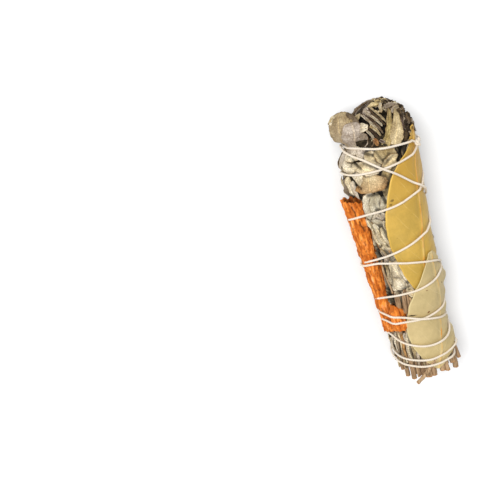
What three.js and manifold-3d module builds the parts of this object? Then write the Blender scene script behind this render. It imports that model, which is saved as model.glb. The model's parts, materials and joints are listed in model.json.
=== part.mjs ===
// White sage smudge stick: a bundle of dried sage sprigs bound with cotton string,
// with two bay leaves and two pieces of cinnamon bark held under the string.
// Millimetres. The stick lies along Y with its head at +Y, its front up and its underside at z = 0.
// A place on it is given by its station along Y, its bearing round the axis in degrees
// (0 is the front, 90 is +X) and its distance from the axis.

import * as THREE from "three";
import { mergeVertices } from "three/addons/utils/BufferGeometryUtils.js";
import Module from "manifold-3d";

const wasm = await Module();
wasm.setup();

// Driving dimensions of the bundle
const CUT_END = 5;
const LEAF_END = 10;
const TAPER_START = 25;
const SHOULDER = 100;
const BASE_RADIUS = 12.6;
const SHOULDER_RADIUS = 16;
const UNDERSIDE_SUNK = 0.9;
const CLEARANCE = 0.35;
const BLADE_THICKNESS = 0.7;
const SMALLEST_EDGE = 0.06;
const THINNEST_FACE = 0.002;
const FOLD_GAP = 0.05;
const MERGED_EDGE = 0.001;

// The core that the sage leaves stand out of
const CORE_SHARE = 0.9;
const CORE_DROP = 0.9;
const CORE_SIDES = 14;

// The head: a main dome of curled leaves and a smaller fold of leaves on its left
const DOME = { centre: [3, 105], radii: [12.8, 14.2, 13.2], drop: 0 };
const FOLD = { centre: [-9.3, 110.3], radii: [6, 7.2, 8.5], drop: -0.4 };
const DOME_CORE_SHARE = 0.86;

// The waist that the top loops of string pull in on the left, below the fold
const WAIST = { station: 105.5, depth: 2.9, spread: 2.5 };

// Cut stems
const STEM_RINGS = [
  { count: 1, distance: 0, top: 40 },
  { count: 6, distance: 4.9, top: 32 },
  { count: 13, distance: 9.5, top: 26 },
];
const STEM_RADIUS = 1.15;
const STEM_RADIUS_SPREAD = 0.35;
const STEM_SIDES = 6;
const LEANING_STEM = { tip: [2.6, -21, 9.8], top: [22, -36, 9.4], radius: 1, room: 18 };
const STEM_TOP_BY_QUILLS = 22;
const QUILL_BEARINGS = [-120, -25];

// Bay leaves, each from its stalk end to its tip: [station, bearing of the midrib]
const BAY_THICKNESS = 0.8;
const BAY_SKIN = -0.5;
const BAY_LEAVES = {
  upper: {
    midrib: [[38, 14], [53, 24], [62, 29.5], [78, 38.5], [92, 45], [106, 60]],
    halfWidth: 15.6, belly: 1.09, blunt: 0.75, lapFrom: 200, lap: 0, flare: 0,
  },
  lower: {
    midrib: [[8.5, 7], [15, 22], [24.5, 34], [33, 41], [44, 42], [57.5, 42]],
    halfWidth: 16, belly: 0.82, blunt: 1, lapFrom: 30, lap: 1.15, flare: 1.5,
  },
};
const LAP_RUN = 8;
const FLARE_STATION = 43;

// Cinnamon quills: rolled bark from the lower end to the upper end, as [x, station, height over the axis]
const BARK_THICKNESS = 0.9;
const LONG_QUILL = { from: [-10.8, 24, 0.6], to: [-14.2, 83, 3.8], radii: [3, 4.05], opens: 20, turn: 300 };
const SHORT_QUILL = { from: [-8, 26, 7], to: [-8.3, 36.5, 7.3], radii: [2.6, 2.7], opens: 150, turn: 285 };

// Cotton string: one length, wound right to left over the front. Each front pass is given by
// its stations at the bearings 90, 45, 0, -45 and -90, in the order that the string runs.
const STRING_RADIUS = 0.55;
const STRING_ON_SAGE = 0.75;
const STRING_STEPS = 16;
const STRING_SIDES = 5;
const FLOOR_GAP = 0.25;
const PASSES_DOWN = [
  [100.6, 101.7, 103, 105.2, 106.4],
  [97.4, 98, 95.9, 95, 95],
  [87.6, 83.4, 80.4, 78.8, 76.6],
  [71, 66.7, 63, 59.9, 56.8],
  [50, 46.2, 44.4, 43.2, 41],
  [35.2, 32.6, 31.6, 31.5, 30.1],
  [16.6, 14, 13.4, 15, 17.4],
];
const PASSES_UP = [
  [11.2, 11, 10.9, 12.4, 15],
  [23.4, 19.9, 19.4, 22.3, 27],
  [26.6, 28.4, 31.8, 34.6, 34.6],
  [48.4, 52.9, 56.1, 57.9, 56],
  [77.4, 83.6, 93.6, 102, 107.2],
];
// The string's straight steps dip by the sag between their ends and reach past a leaf's edge
const CHORD_SAG = 0.18;
const CHORD_REACH = 2.6;
const CROSSING_LIFT = 1.5;
const CROSSING_RUN = 6.5;
const KNOT = { station: 98.6, bearing: 72, size: 1.15, tails: [[-3.4, -0.6], [-2.6, 1.8]] };

const COLOURS = {
  sage: "#aaa48d", stem: "#8d7f69", bayUpper: "#b5953c", bayLower: "#8d9070",
  cinnamon: "#a85f2c", string: "#e6dccb",
};

// Small helpers
const radians = THREE.MathUtils.degToRad;
const mix = THREE.MathUtils.lerp;
const clamp = THREE.MathUtils.clamp;
const ease = (value) => THREE.MathUtils.smoothstep(value, 0, 1);

function draw(index, salt) {
  const wave = Math.sin(index * 12.9898 + salt * 78.233) * 43758.5453;
  return wave - Math.floor(wave);
}

function spread(index, salt, range) {
  return (2 * draw(index, salt) - 1) * range;
}

function along(points, key) {
  const last = points.length - 1;
  if (key <= points[0][0]) return points[0][1];
  for (let i = 0; i < last; i += 1) {
    const [from, start] = points[i];
    const [to, end] = points[i + 1];
    if (key <= to) return mix(start, end, (key - from) / (to - from));
  }
  return points[last][1];
}

// The bundle's outline and the places on its skin
function envelope(station) {
  const share = clamp((station - TAPER_START) / (SHOULDER - TAPER_START), 0, 1);
  return mix(BASE_RADIUS, SHOULDER_RADIUS, share);
}

function axisHeight(station) {
  return envelope(station) - UNDERSIDE_SUNK;
}

function polar(station, bearing, radius) {
  const angle = radians(bearing);
  return new THREE.Vector3(
    radius * Math.sin(angle), station, axisHeight(station) + radius * Math.cos(angle));
}

function skin(station, bearing, lift) {
  return polar(station, bearing, envelope(station) + lift);
}

// Closed meshes
function closedGeometry(points, faces) {
  const geometry = new THREE.BufferGeometry();
  geometry.setAttribute("position", new THREE.Float32BufferAttribute(points.flatMap((p) => p.toArray()), 3));
  geometry.setIndex(faces.flat());
  return geometry;
}

function loft(rings) {
  const sides = rings[0].length;
  const points = rings.flat();
  const faces = [];
  for (let r = 0; r + 1 < rings.length; r += 1) {
    for (let i = 0; i < sides; i += 1) {
      const a = r * sides + i;
      const b = r * sides + (i + 1) % sides;
      faces.push([a, b, a + sides], [b, b + sides, a + sides]);
    }
  }
  for (const end of [0, rings.length - 1]) {
    const ring = rings[end];
    const middle = ring.reduce((sum, p) => sum.add(p), new THREE.Vector3()).divideScalar(sides);
    const hub = points.push(middle) - 1;
    for (let i = 0; i < sides; i += 1) {
      const a = end * sides + i;
      const b = end * sides + (i + 1) % sides;
      faces.push(end === 0 ? [b, a, hub] : [a, b, hub]);
    }
  }
  return closedGeometry(points, faces);
}

// A thin sheet with two faces split alike; place(row share, column share from -1 to 1, side) gives its points
function sheet(rows, columns, place) {
  const points = [];
  const faces = [];
  const perFace = (rows + 1) * (columns + 1);
  for (const side of [1, -1]) {
    for (let r = 0; r <= rows; r += 1) {
      for (let c = 0; c <= columns; c += 1) points.push(place(r / rows, 2 * c / columns - 1, side, r, c));
    }
  }
  const at = (r, c, face) => face * perFace + r * (columns + 1) + c;
  const quad = (a, b, c, d) => faces.push([a, b, c], [a, c, d]);
  for (let r = 0; r < rows; r += 1) {
    for (let c = 0; c < columns; c += 1) {
      quad(at(r, c, 0), at(r, c + 1, 0), at(r + 1, c + 1, 0), at(r + 1, c, 0));
      faces.push([at(r, c, 1), at(r + 1, c + 1, 1), at(r, c + 1, 1)]);
      faces.push([at(r, c, 1), at(r + 1, c, 1), at(r + 1, c + 1, 1)]);
    }
    quad(at(r, 0, 0), at(r + 1, 0, 0), at(r + 1, 0, 1), at(r, 0, 1));
    quad(at(r + 1, columns, 0), at(r, columns, 0), at(r, columns, 1), at(r + 1, columns, 1));
  }
  for (let c = 0; c < columns; c += 1) {
    quad(at(0, c + 1, 0), at(0, c, 0), at(0, c, 1), at(0, c + 1, 1));
    quad(at(rows, c, 0), at(rows, c + 1, 0), at(rows, c + 1, 1), at(rows, c, 1));
  }
  return closedGeometry(points, faces);
}

// A round section swept along a curve, closed at both ends
function sweep(curve, steps, sides, radius) {
  const frames = curve.computeFrenetFrames(steps, false);
  const rings = [];
  for (let step = 0; step <= steps; step += 1) {
    const centre = curve.getPointAt(step / steps);
    const reach = typeof radius === "function" ? radius(step / steps) : radius;
    const ring = [];
    for (let i = 0; i < sides; i += 1) {
      const angle = 2 * Math.PI * i / sides;
      ring.push(centre.clone()
        .addScaledVector(frames.normals[step], reach * Math.cos(angle))
        .addScaledVector(frames.binormals[step], reach * Math.sin(angle)));
    }
    rings.push(ring);
  }
  return loft(rings);
}

// Solids for joining and cutting
function solid(geometry, tolerance = 1e-5) {
  const bare = new THREE.BufferGeometry();
  bare.setAttribute("position", geometry.getAttribute("position"));
  bare.setIndex(geometry.getIndex());
  const merged = mergeVertices(bare, tolerance);
  const index = merged.getIndex().array;
  const kept = [];
  for (let i = 0; i < index.length; i += 3) {
    const [a, b, c] = [index[i], index[i + 1], index[i + 2]];
    if (a !== b && b !== c && c !== a) kept.push(a, b, c);
  }
  const vertProperties = new Float32Array(merged.getAttribute("position").array);
  const body = new wasm.Manifold(new wasm.Mesh({ numProp: 3, vertProperties, triVerts: new Uint32Array(kept) }));
  if (body.volume() > 0) return body;
  const turned = kept.map((_, i) => kept[i - i % 3 + [0, 2, 1][i % 3]]);
  return new wasm.Manifold(new wasm.Mesh({ numProp: 3, vertProperties, triVerts: new Uint32Array(turned) }));
}

function joined(bodies) {
  return bodies.reduce((sum, body) => sum.add(body));
}

// The largest closed shell alone, so sealed hollows are filled and scraps are dropped
function largest(body) {
  return body.decompose().reduce((best, piece) => (piece.volume() > best.volume() ? piece : best));
}

function thinned(body) {
  return largest(solid(withoutSlivers(largest(body).simplify(SMALLEST_EDGE)), MERGED_EDGE));
}

// A triangle mesh whose edges can be closed up or turned one at a time
class LooseMesh {
  constructor(body) {
    const { vertProperties, triVerts } = body.getMesh();
    this.points = Array.from({ length: vertProperties.length / 3 }, (_, i) =>
      new THREE.Vector3().fromArray(vertProperties, 3 * i));
    this.faces = Array.from({ length: triVerts.length / 3 }, (_, i) => [...triVerts.slice(3 * i, 3 * i + 3)]);
    this.around = this.points.map(() => new Set());
    this.faces.forEach((face, f) => face.forEach((point) => this.around[point].add(f)));
  }

  normal(face) {
    const [a, b, c] = face.map((point) => this.points[point]);
    return b.clone().sub(a).cross(c.clone().sub(a));
  }

  length(a, b) {
    return this.points[a].distanceTo(this.points[b]);
  }

  height(face) {
    const [a, b, c] = face;
    return this.normal(face).length() / Math.max(this.length(a, b), this.length(b, c), this.length(c, a));
  }

  sharedFaces(a, b) {
    return [...this.around[a]].filter((f) => this.around[b].has(f));
  }

  neighbours(point) {
    return new Set([...this.around[point]].flatMap((f) => this.faces[f]).filter((other) => other !== point));
  }

  // True where a face keeps its way round, or had none to speak of
  keepsWay(before, after) {
    const thin = before.length() < 1e-3;
    return after.length() > 1e-6 && (thin || before.dot(after) > 0.3 * before.length() * after.length());
  }

  closeUp(gone, kept) {
    const shared = this.sharedFaces(gone, kept);
    const ring = this.neighbours(kept);
    const common = [...this.neighbours(gone)].filter((point) => ring.has(point));
    if (shared.length !== 2 || common.length !== 2) return false;
    const moved = [...this.around[gone]].filter((f) => !shared.includes(f));
    const turned = moved.map((f) => this.faces[f].map((point) => (point === gone ? kept : point)));
    if (!moved.every((f, i) => this.keepsWay(this.normal(this.faces[f]), this.normal(turned[i])))) return false;
    shared.forEach((f) => this.drop(f));
    moved.forEach((f, i) => this.replace(f, turned[i]));
    return true;
  }

  turnEdge(f) {
    const face = this.faces[f];
    const sides = [0, 1, 2].map((k) => [face[k], face[(k + 1) % 3], face[(k + 2) % 3]]);
    const [a, b, tip] = sides.reduce((best, side) =>
      (this.length(side[0], side[1]) > this.length(best[0], best[1]) ? side : best));
    const other = this.sharedFaces(a, b).find((g) => g !== f);
    if (other === undefined || this.sharedFaces(a, b).length !== 2) return false;
    const far = this.faces[other].find((point) => point !== a && point !== b);
    if (this.neighbours(tip).has(far)) return false;
    const pair = [[tip, a, far], [tip, far, b]];
    const before = this.normal(this.faces[other]);
    if (!pair.every((next) => this.keepsWay(before, this.normal(next)) && this.height(next) > THINNEST_FACE)) return false;
    this.replace(f, pair[0]);
    this.replace(other, pair[1]);
    return true;
  }

  drop(f) {
    this.faces[f].forEach((point) => this.around[point].delete(f));
    this.faces[f] = null;
  }

  replace(f, face) {
    this.drop(f);
    this.faces[f] = face;
    face.forEach((point) => this.around[point].add(f));
  }

  // Folds that touch at a point or along an edge are drawn back from it, each towards its own faces
  partFolds() {
    const places = new Map();
    this.points.forEach((point, i) => {
      if (this.around[i].size === 0) return;
      const key = point.clone().divideScalar(MERGED_EDGE).round().toArray().join();
      places.set(key, [...(places.get(key) ?? []), i]);
    });
    for (const touching of places.values()) {
      if (touching.length < 2) continue;
      for (const i of touching) {
        const ring = [...this.neighbours(i)];
        const middle = ring.reduce((sum, k) => sum.add(this.points[k]), new THREE.Vector3());
        middle.divideScalar(ring.length).sub(this.points[i]);
        this.points[i].addScaledVector(middle, FOLD_GAP / middle.length());
      }
    }
  }

  geometry() {
    return closedGeometry(this.points, this.faces.filter(Boolean));
  }
}

// Closes up edges that are too short and turns the long edge of faces that are too thin
function withoutSlivers(body) {
  const mesh = new LooseMesh(body);
  for (let round = 0; round < 6; round += 1) {
    let changed = 0;
    for (let f = 0; f < mesh.faces.length; f += 1) {
      const face = mesh.faces[f];
      if (face === null) continue;
      const thin = mesh.height(face) < THINNEST_FACE;
      const sides = [[0, 1], [1, 2], [2, 0]].map(([i, k]) => [face[i], face[k], mesh.length(face[i], face[k])]);
      const [a, b, length] = sides.reduce((best, side) => (side[2] < best[2] ? side : best));
      if (length > SMALLEST_EDGE && !thin) continue;
      const closed = length <= 2 * SMALLEST_EDGE && (mesh.closeUp(a, b) || mesh.closeUp(b, a));
      if (closed || (thin && mesh.turnEdge(f))) changed += 1;
    }
    if (changed === 0) break;
  }
  mesh.partFolds();
  return mesh.geometry();
}

function geometryOf(body) {
  const mesh = body.getMesh();
  const geometry = new THREE.BufferGeometry();
  geometry.setAttribute("position", new THREE.BufferAttribute(new Float32Array(mesh.vertProperties), 3));
  geometry.setIndex(new THREE.BufferAttribute(new Uint32Array(mesh.triVerts), 1));
  return geometry;
}

// Bay leaves
function bayHalfWidth(leaf, station) {
  const from = leaf.midrib[0][0];
  const to = leaf.midrib[leaf.midrib.length - 1][0];
  const share = clamp((station - from) / (to - from), 0, 1);
  return leaf.halfWidth * Math.max(Math.sin(Math.PI * share ** leaf.belly), 0) ** leaf.blunt;
}

function bayLift(leaf, station, across) {
  const lapped = leaf.lap * ease((station - leaf.lapFrom) / LAP_RUN);
  const near = Math.exp(-(((station - FLARE_STATION) / 4) ** 2));
  return BAY_SKIN + lapped + leaf.flare * near * Math.max(across, 0) ** 3;
}

function baySheet(leaf, inner, outer, margin) {
  const from = leaf.midrib[0][0] - margin;
  const to = leaf.midrib[leaf.midrib.length - 1][0] + margin;
  return sheet(14, 8, (u, v, side) => {
    const station = mix(from, to, u);
    const half = bayHalfWidth(leaf, station) + (u > 0 && u < 1 ? margin : 0);
    const bearing = along(leaf.midrib, station) + THREE.MathUtils.radToDeg(v * half / envelope(station));
    return skin(station, bearing, bayLift(leaf, station, v) + (side > 0 ? outer : inner));
  });
}

function bayLeaf(leaf) {
  return baySheet(leaf, -BAY_THICKNESS / 2, BAY_THICKNESS / 2, 0);
}

function bayRoom(leaf) {
  return solid(baySheet(leaf, -BAY_THICKNESS / 2 - CLEARANCE, 5, 2 * CLEARANCE));
}

function underBay(station, bearing, margin) {
  return Object.values(BAY_LEAVES).some((leaf) => {
    const offset = radians(bearing - along(leaf.midrib, station)) * envelope(station);
    return Math.abs(offset) < bayHalfWidth(leaf, station) - margin;
  });
}

// Cinnamon quills
function quillAxis(quill, share) {
  const [x, station, height] = quill.from.map((value, i) => mix(value, quill.to[i], share));
  return new THREE.Vector3(x, station, axisHeight(station) + height);
}

function quillRadius(quill, share) {
  return mix(quill.radii[0], quill.radii[1], share);
}

// A rolled sheet of bark: the outer edge stays out and the other edge curls in behind it
function quillGeometry(quill, steps, segments) {
  const rings = [];
  for (let step = 0; step <= steps; step += 1) {
    const centre = quillAxis(quill, step / steps);
    const outside = quillRadius(quill, step / steps);
    const ring = [];
    for (const [wall, from, to] of [[0, 0, segments], [BARK_THICKNESS, segments, 0]]) {
      const way = Math.sign(to - from);
      for (let i = from; i !== to + way; i += way) {
        const angle = radians(quill.opens + quill.turn * i / segments);
        const curl = 0.22 * outside * ease(2 * i / segments - 1);
        const reach = outside - wall - curl;
        ring.push(centre.clone().add(new THREE.Vector3(reach * Math.sin(angle), 0, reach * Math.cos(angle))));
      }
    }
    rings.push(ring);
  }
  return rings;
}

// The roll's section isn't convex, so its ends are closed by strips across the bark
function rolledBark(quill) {
  const segments = 14;
  const rings = quillGeometry(quill, 5, segments);
  const sides = rings[0].length;
  const points = rings.flat();
  const faces = [];
  for (let r = 0; r + 1 < rings.length; r += 1) {
    for (let i = 0; i < sides; i += 1) {
      const a = r * sides + i;
      const b = r * sides + (i + 1) % sides;
      faces.push([a, b, a + sides], [b, b + sides, a + sides]);
    }
  }
  for (const base of [0, (rings.length - 1) * sides]) {
    for (let i = 0; i < segments; i += 1) {
      const [a, b] = [base + i, base + i + 1];
      const [c, d] = [base + sides - 1 - i, base + sides - 2 - i];
      if (base === 0) faces.push([b, a, c], [b, c, d]);
      else faces.push([a, b, c], [b, d, c]);
    }
  }
  return closedGeometry(points, faces);
}

// The room that a quill takes: a round bar that also reaches out of the bundle
function quillRoom(quill) {
  const rings = [-0.02, 0.5, 1.02].map((share) => {
    const centre = quillAxis(quill, share);
    const reach = quillRadius(quill, share) + CLEARANCE;
    const outward = new THREE.Vector3(centre.x, 0, centre.z - axisHeight(centre.y)).normalize();
    const ring = [];
    for (let i = 0; i < 12; i += 1) {
      const angle = 2 * Math.PI * (i + 0.5) / 12;
      const point = new THREE.Vector3(Math.sin(angle), 0, Math.cos(angle)).multiplyScalar(reach / Math.cos(Math.PI / 12));
      if (point.dot(outward) > 0) point.addScaledVector(outward, 6);
      ring.push(centre.clone().add(point));
    }
    return ring;
  });
  return solid(loft(rings));
}

// Cut stems
function stemCurve(tip, top) {
  const middle = tip.map((value, i) => mix(value, top[i], 0.5));
  middle[2] += 0.25;
  return new THREE.CatmullRomCurve3([tip, middle, top].map(([station, bearing, distance]) =>
    polar(station, bearing, distance)));
}

function stemList() {
  const stems = [];
  for (const ring of STEM_RINGS) {
    for (let i = 0; i < ring.count; i += 1) {
      const id = stems.length;
      const bearing = 360 * i / ring.count + spread(id, 1, 4);
      const radius = STEM_RADIUS + draw(id, 2) * STEM_RADIUS_SPREAD;
      const tip = [CUT_END + spread(id, 3, 1.1), bearing, ring.distance];
      const wrapped = (bearing + 180) % 360 - 180;
      const outer = ring === STEM_RINGS.at(-1);
      const byQuills = outer && wrapped > QUILL_BEARINGS[0] && wrapped < QUILL_BEARINGS[1];
      const crowded = outer && Math.abs(wrapped - LEANING_STEM.tip[1]) < LEANING_STEM.room;
      const reach = byQuills ? STEM_TOP_BY_QUILLS : ring.top;
      const top = [reach, bearing + spread(id, 4, 3), Math.max(ring.distance - 0.3, 0)];
      if (!crowded) stems.push({ curve: stemCurve(tip, top), radius });
    }
  }
  stems.push({ curve: stemCurve(LEANING_STEM.tip, LEANING_STEM.top), radius: LEANING_STEM.radius });
  return stems;
}

function stemGeometry(stem) {
  return sweep(stem.curve, 3, STEM_SIDES, (share) => stem.radius * mix(1, 0.85, share));
}

function stemRoom(stem) {
  const ends = [0, 0.5, 1].map((share) => stem.curve.getPointAt(share));
  const before = ends[0].clone().sub(ends[1]).normalize().multiplyScalar(4).add(ends[0]);
  const beyond = ends[2].clone().sub(ends[1]).normalize().multiplyScalar(CLEARANCE).add(ends[2]);
  const curve = new THREE.CatmullRomCurve3([before, ...ends, beyond]);
  return solid(sweep(curve, 3, STEM_SIDES, stem.radius * 1.05 + CLEARANCE));
}

// Sage leaves on the body, roots sunk in the core and tips just under the string
function leafProfile(share) {
  return Math.max(Math.sin(Math.PI * share ** 0.75), 0) ** 0.75;
}

function bodyLeaf(id, { root, bearing, length, width, lean, rise, rootDepth }) {
  return solid(sheet(4, 2, (u, v, side, row, column) => {
    const full = leafProfile(u);
    const station = root + length * u * Math.cos(radians(lean));
    const sideways = length * u * Math.sin(radians(lean)) + v * 0.5 * width * full;
    const wave = u > 0 && u < 1 ? spread(id * 7 + row, column, 0.2) : 0;
    const lift = mix(rootDepth, rise, ease(1.5 * u)) - 0.35 * Math.abs(v) * full + wave;
    const turn = THREE.MathUtils.radToDeg(sideways / envelope(station));
    return skin(station, bearing + turn, lift + side * BLADE_THICKNESS / 2);
  }));
}

const LEAF_ROWS = [
  { root: 13, count: 8, length: 27 },
  { root: 29, count: 8, length: 29 },
  { root: 46, count: 9, length: 30 },
  { root: 62, count: 9, length: 28 },
  { root: 76, count: 9, length: 25 },
];

function bodyLeaves() {
  const leaves = [];
  LEAF_ROWS.forEach((row, level) => {
    for (let i = 0; i < row.count; i += 1) {
      const id = 100 + level * 20 + i;
      const root = row.root + spread(id, 1, 2.2);
      const bearing = 360 * (i + 0.5 * (level % 2)) / row.count + spread(id, 2, 7);
      const leaf = {
        root, bearing, length: row.length - draw(id, 3) * 3, width: 11.5 + spread(id, 4, 2),
        lean: spread(id, 5, 11), rise: -0.65 + spread(id, 6, 0.1), rootDepth: -3,
      };
      const middle = root + 0.5 * leaf.length;
      if (!underBay(middle, (bearing + 180) % 360 - 180, 5)) leaves.push(bodyLeaf(id, leaf));
    }
  });
  return leaves;
}

// Narrow strips of leaf that hang down over the stems at the base
function baseStrips() {
  const strips = [];
  for (let i = 0; i < 11; i += 1) {
    const id = 300 + i;
    const bearing = 360 * i / 11 + 12 + spread(id, 1, 6);
    const length = 15 + spread(id, 2, 2);
    strips.push(bodyLeaf(id, {
      root: 22, bearing, length: -length, width: 4.6 + spread(id, 3, 1),
      lean: spread(id, 4, 9), rise: -0.6, rootDepth: -2.6,
    }));
  }
  return strips;
}

// Leaves that wrap over the head's dome and fold
function capLeaf(id, cap, { bearing, start, heading, length, width, lifts }) {
  const [theta, psi, phi] = [bearing, start, heading].map(radians);
  const out = new THREE.Vector3(Math.sin(theta) * Math.cos(psi), Math.sin(psi), Math.cos(theta) * Math.cos(psi));
  const up = new THREE.Vector3(-Math.sin(theta) * Math.sin(psi), Math.cos(psi), -Math.cos(theta) * Math.sin(psi));
  const across = new THREE.Vector3(Math.cos(theta), 0, -Math.sin(theta));
  const onward = up.multiplyScalar(Math.cos(phi)).addScaledVector(across, Math.sin(phi));
  const aside = new THREE.Vector3().crossVectors(onward, out);
  const centre = new THREE.Vector3(cap.centre[0], cap.centre[1], axisHeight(SHOULDER) - cap.drop);
  const size = cap.radii[1];
  return solid(sheet(4, 2, (u, v, side, row, column) => {
    const full = leafProfile(u);
    const angle = length * u / size;
    const wave = u > 0 && u < 1 ? spread(id * 7 + row, column, 0.3) : 0;
    const fall = 0.3 * Math.abs(v) * full;
    const lift = mix(lifts[0], lifts[1], ease(1.4 * u)) - fall + wave + side * BLADE_THICKNESS / 2;
    const way = out.clone().multiplyScalar(Math.cos(angle))
      .addScaledVector(onward, Math.sin(angle))
      .addScaledVector(aside, v * 0.5 * width * full / size)
      .normalize();
    const point = new THREE.Vector3(way.x * cap.radii[0], way.y * cap.radii[1], way.z * cap.radii[2]);
    return point.addScaledVector(way, lift).add(centre);
  }));
}

const CAP_ROWS = [
  { cap: DOME, count: 8, start: -14, length: 19, width: 10.5, lifts: [-4.2, -0.6], swing: 10 },
  { cap: DOME, count: 5, start: 24, length: 15, width: 10, lifts: [-3.6, -0.1], swing: 12 },
  { cap: DOME, count: 2, start: 58, length: 8, width: 5.5, lifts: [-3, 0.5], swing: 40 },
  { cap: FOLD, count: 4, start: -26, length: 13, width: 9.5, lifts: [-3, -0.2], swing: 14 },
];

function headLeaves() {
  const leaves = [];
  CAP_ROWS.forEach((row, level) => {
    for (let i = 0; i < row.count; i += 1) {
      const id = 400 + level * 20 + i;
      leaves.push(capLeaf(id, row.cap, {
        bearing: 360 * (i + 0.5 * (level % 2)) / row.count + spread(id, 1, 9),
        start: row.start + spread(id, 2, 5), heading: spread(id, 3, row.swing),
        length: row.length + spread(id, 4, 1.5), width: row.width + spread(id, 5, 1), lifts: row.lifts,
      }));
    }
  });
  return leaves;
}

function bodyCore() {
  const stations = [LEAF_END, 13, 22, 36, 52, 68, 84, SHOULDER, 105, 109];
  const rings = stations.map((station, ring) => {
    const slim = ring === 0 ? 0.72 : ring === 1 ? 0.8 : station > SHOULDER ? 0.74 : 1;
    return Array.from({ length: CORE_SIDES }, (_, i) => {
      const point = polar(station, -360 * i / CORE_SIDES, envelope(station) * CORE_SHARE * slim);
      point.z -= CORE_DROP;
      return point;
    });
  });
  return solid(loft(rings));
}

function capCore(cap) {
  const ball = new THREE.SphereGeometry(1, 12, 8);
  ball.scale(...cap.radii.map((radius) => radius * DOME_CORE_SHARE));
  ball.translate(cap.centre[0], cap.centre[1], axisHeight(SHOULDER) - cap.drop);
  return solid(ball);
}

// Cotton string
function stationsAlong(passes, fromBack, toBack) {
  const turns = [];
  const stations = [];
  const add = (turn, station) => {
    turns.push(turn);
    stations.push(station);
  };
  if (fromBack !== null) add(-0.25, fromBack);
  passes.forEach((pass, number) => {
    pass.forEach((station, i) => add(number + i / 8, station));
    const next = passes[number + 1];
    const back = next ? (pass[4] + next[0]) / 2 : toBack;
    add(number + 0.75, back);
  });
  return new THREE.CubicInterpolant(turns, stations, 1, []);
}

// Distance from the axis to the outside of a quill in one direction, or 0 beside it
function quillReach(quill, station, bearing) {
  const share = (station - quill.from[1]) / (quill.to[1] - quill.from[1]);
  if (share < -0.03 || share > 1.03) return 0;
  const centre = quillAxis(quill, share);
  const angle = radians(bearing);
  const height = centre.z - axisHeight(station);
  const nearest = centre.x * Math.sin(angle) + height * Math.cos(angle);
  const aside = centre.x * Math.cos(angle) - height * Math.sin(angle);
  const radius = quillRadius(quill, share) + CLEARANCE + STRING_RADIUS + 2 * CHORD_SAG;
  return Math.abs(aside) < radius ? nearest + Math.sqrt(radius ** 2 - aside ** 2) : 0;
}

function stringRest(station, bearing) {
  const side = 0.5 - 0.5 * Math.sin(radians(bearing));
  const pull = WAIST.depth * side * Math.exp(-(((station - WAIST.station) / WAIST.spread) ** 2));
  const rests = [envelope(station) - pull + STRING_ON_SAGE];
  for (const quill of [LONG_QUILL, SHORT_QUILL]) rests.push(quillReach(quill, station, bearing));
  for (const leaf of Object.values(BAY_LEAVES)) {
    const offset = radians(bearing - along(leaf.midrib, station)) * envelope(station);
    const half = bayHalfWidth(leaf, station);
    if (Math.abs(offset) < half + CHORD_REACH) {
      const face = bayLift(leaf, station, half > 0 ? clamp(offset / half, -1, 1) : 0) + BAY_THICKNESS / 2;
      rests.push(envelope(station) + face + STRING_RADIUS + CLEARANCE + CHORD_SAG);
    }
  }
  return Math.max(...rests);
}

function windingSamples(interpolant, fromTurn, toTurn) {
  const count = Math.round((toTurn - fromTurn) * STRING_STEPS);
  return Array.from({ length: count + 1 }, (_, i) => {
    const turn = mix(fromTurn, toTurn, i / count);
    const station = interpolant.evaluate(turn)[0];
    const bearing = 90 - 360 * turn;
    const wrapped = ((bearing + 180) % 360 + 360) % 360 - 180;
    return { station, bearing, radius: stringRest(station, wrapped) };
  });
}

// A taut string leaves hollows: each point is at least on every chord between its neighbours
function tighten(samples) {
  const reach = Math.floor(0.4 * STRING_STEPS);
  return samples.map((here, i) => {
    let radius = here.radius;
    for (let a = Math.max(0, i - reach); a < i; a += 1) {
      for (let b = i + 1; b <= Math.min(samples.length - 1, i + reach, a + reach + 2); b += 1) {
        const [first, second] = [samples[a], samples[b]];
        const whole = radians(first.bearing - second.bearing);
        const before = radians(first.bearing - here.bearing);
        const after = radians(here.bearing - second.bearing);
        const chord = first.radius * second.radius * Math.sin(whole)
          / (first.radius * Math.sin(before) + second.radius * Math.sin(after));
        radius = Math.max(radius, chord);
      }
    }
    return { ...here, radius };
  });
}

// Where the upper strand crosses a lower one it rides over it in a long low hump
function liftOver(upper, lower) {
  return upper.map((point) => {
    let nearest = Infinity;
    for (let i = 0; i + 1 < lower.length; i += 1) {
      for (const share of [0, 0.25, 0.5, 0.75]) {
        const station = mix(lower[i].station, lower[i + 1].station, share);
        const bearing = mix(lower[i].bearing, lower[i + 1].bearing, share);
        const turn = ((point.bearing - bearing + 180) % 360 + 360) % 360 - 180;
        nearest = Math.min(nearest, Math.hypot(point.station - station, radians(turn) * point.radius));
      }
    }
    const share = Math.max(0, 1 - (nearest / CROSSING_RUN) ** 2);
    return { ...point, radius: point.radius + CROSSING_LIFT * share };
  });
}

// A curve through points, with none of it nearer the floor than the gap allows
function overFloor(points) {
  const raised = points.map((point) => new THREE.Vector3(
    point.x, point.y, Math.max(point.z, STRING_RADIUS + FLOOR_GAP)));
  return new THREE.CatmullRomCurve3(raised, false, "centripetal");
}

function windingCurve(samples) {
  const points = samples.map(({ station, bearing, radius }) => polar(station, bearing, radius));
  const curve = overFloor(overFloor(points).getPoints(4 * points.length));
  curve.arcLengthDivisions = 3000;
  return curve;
}

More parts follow.
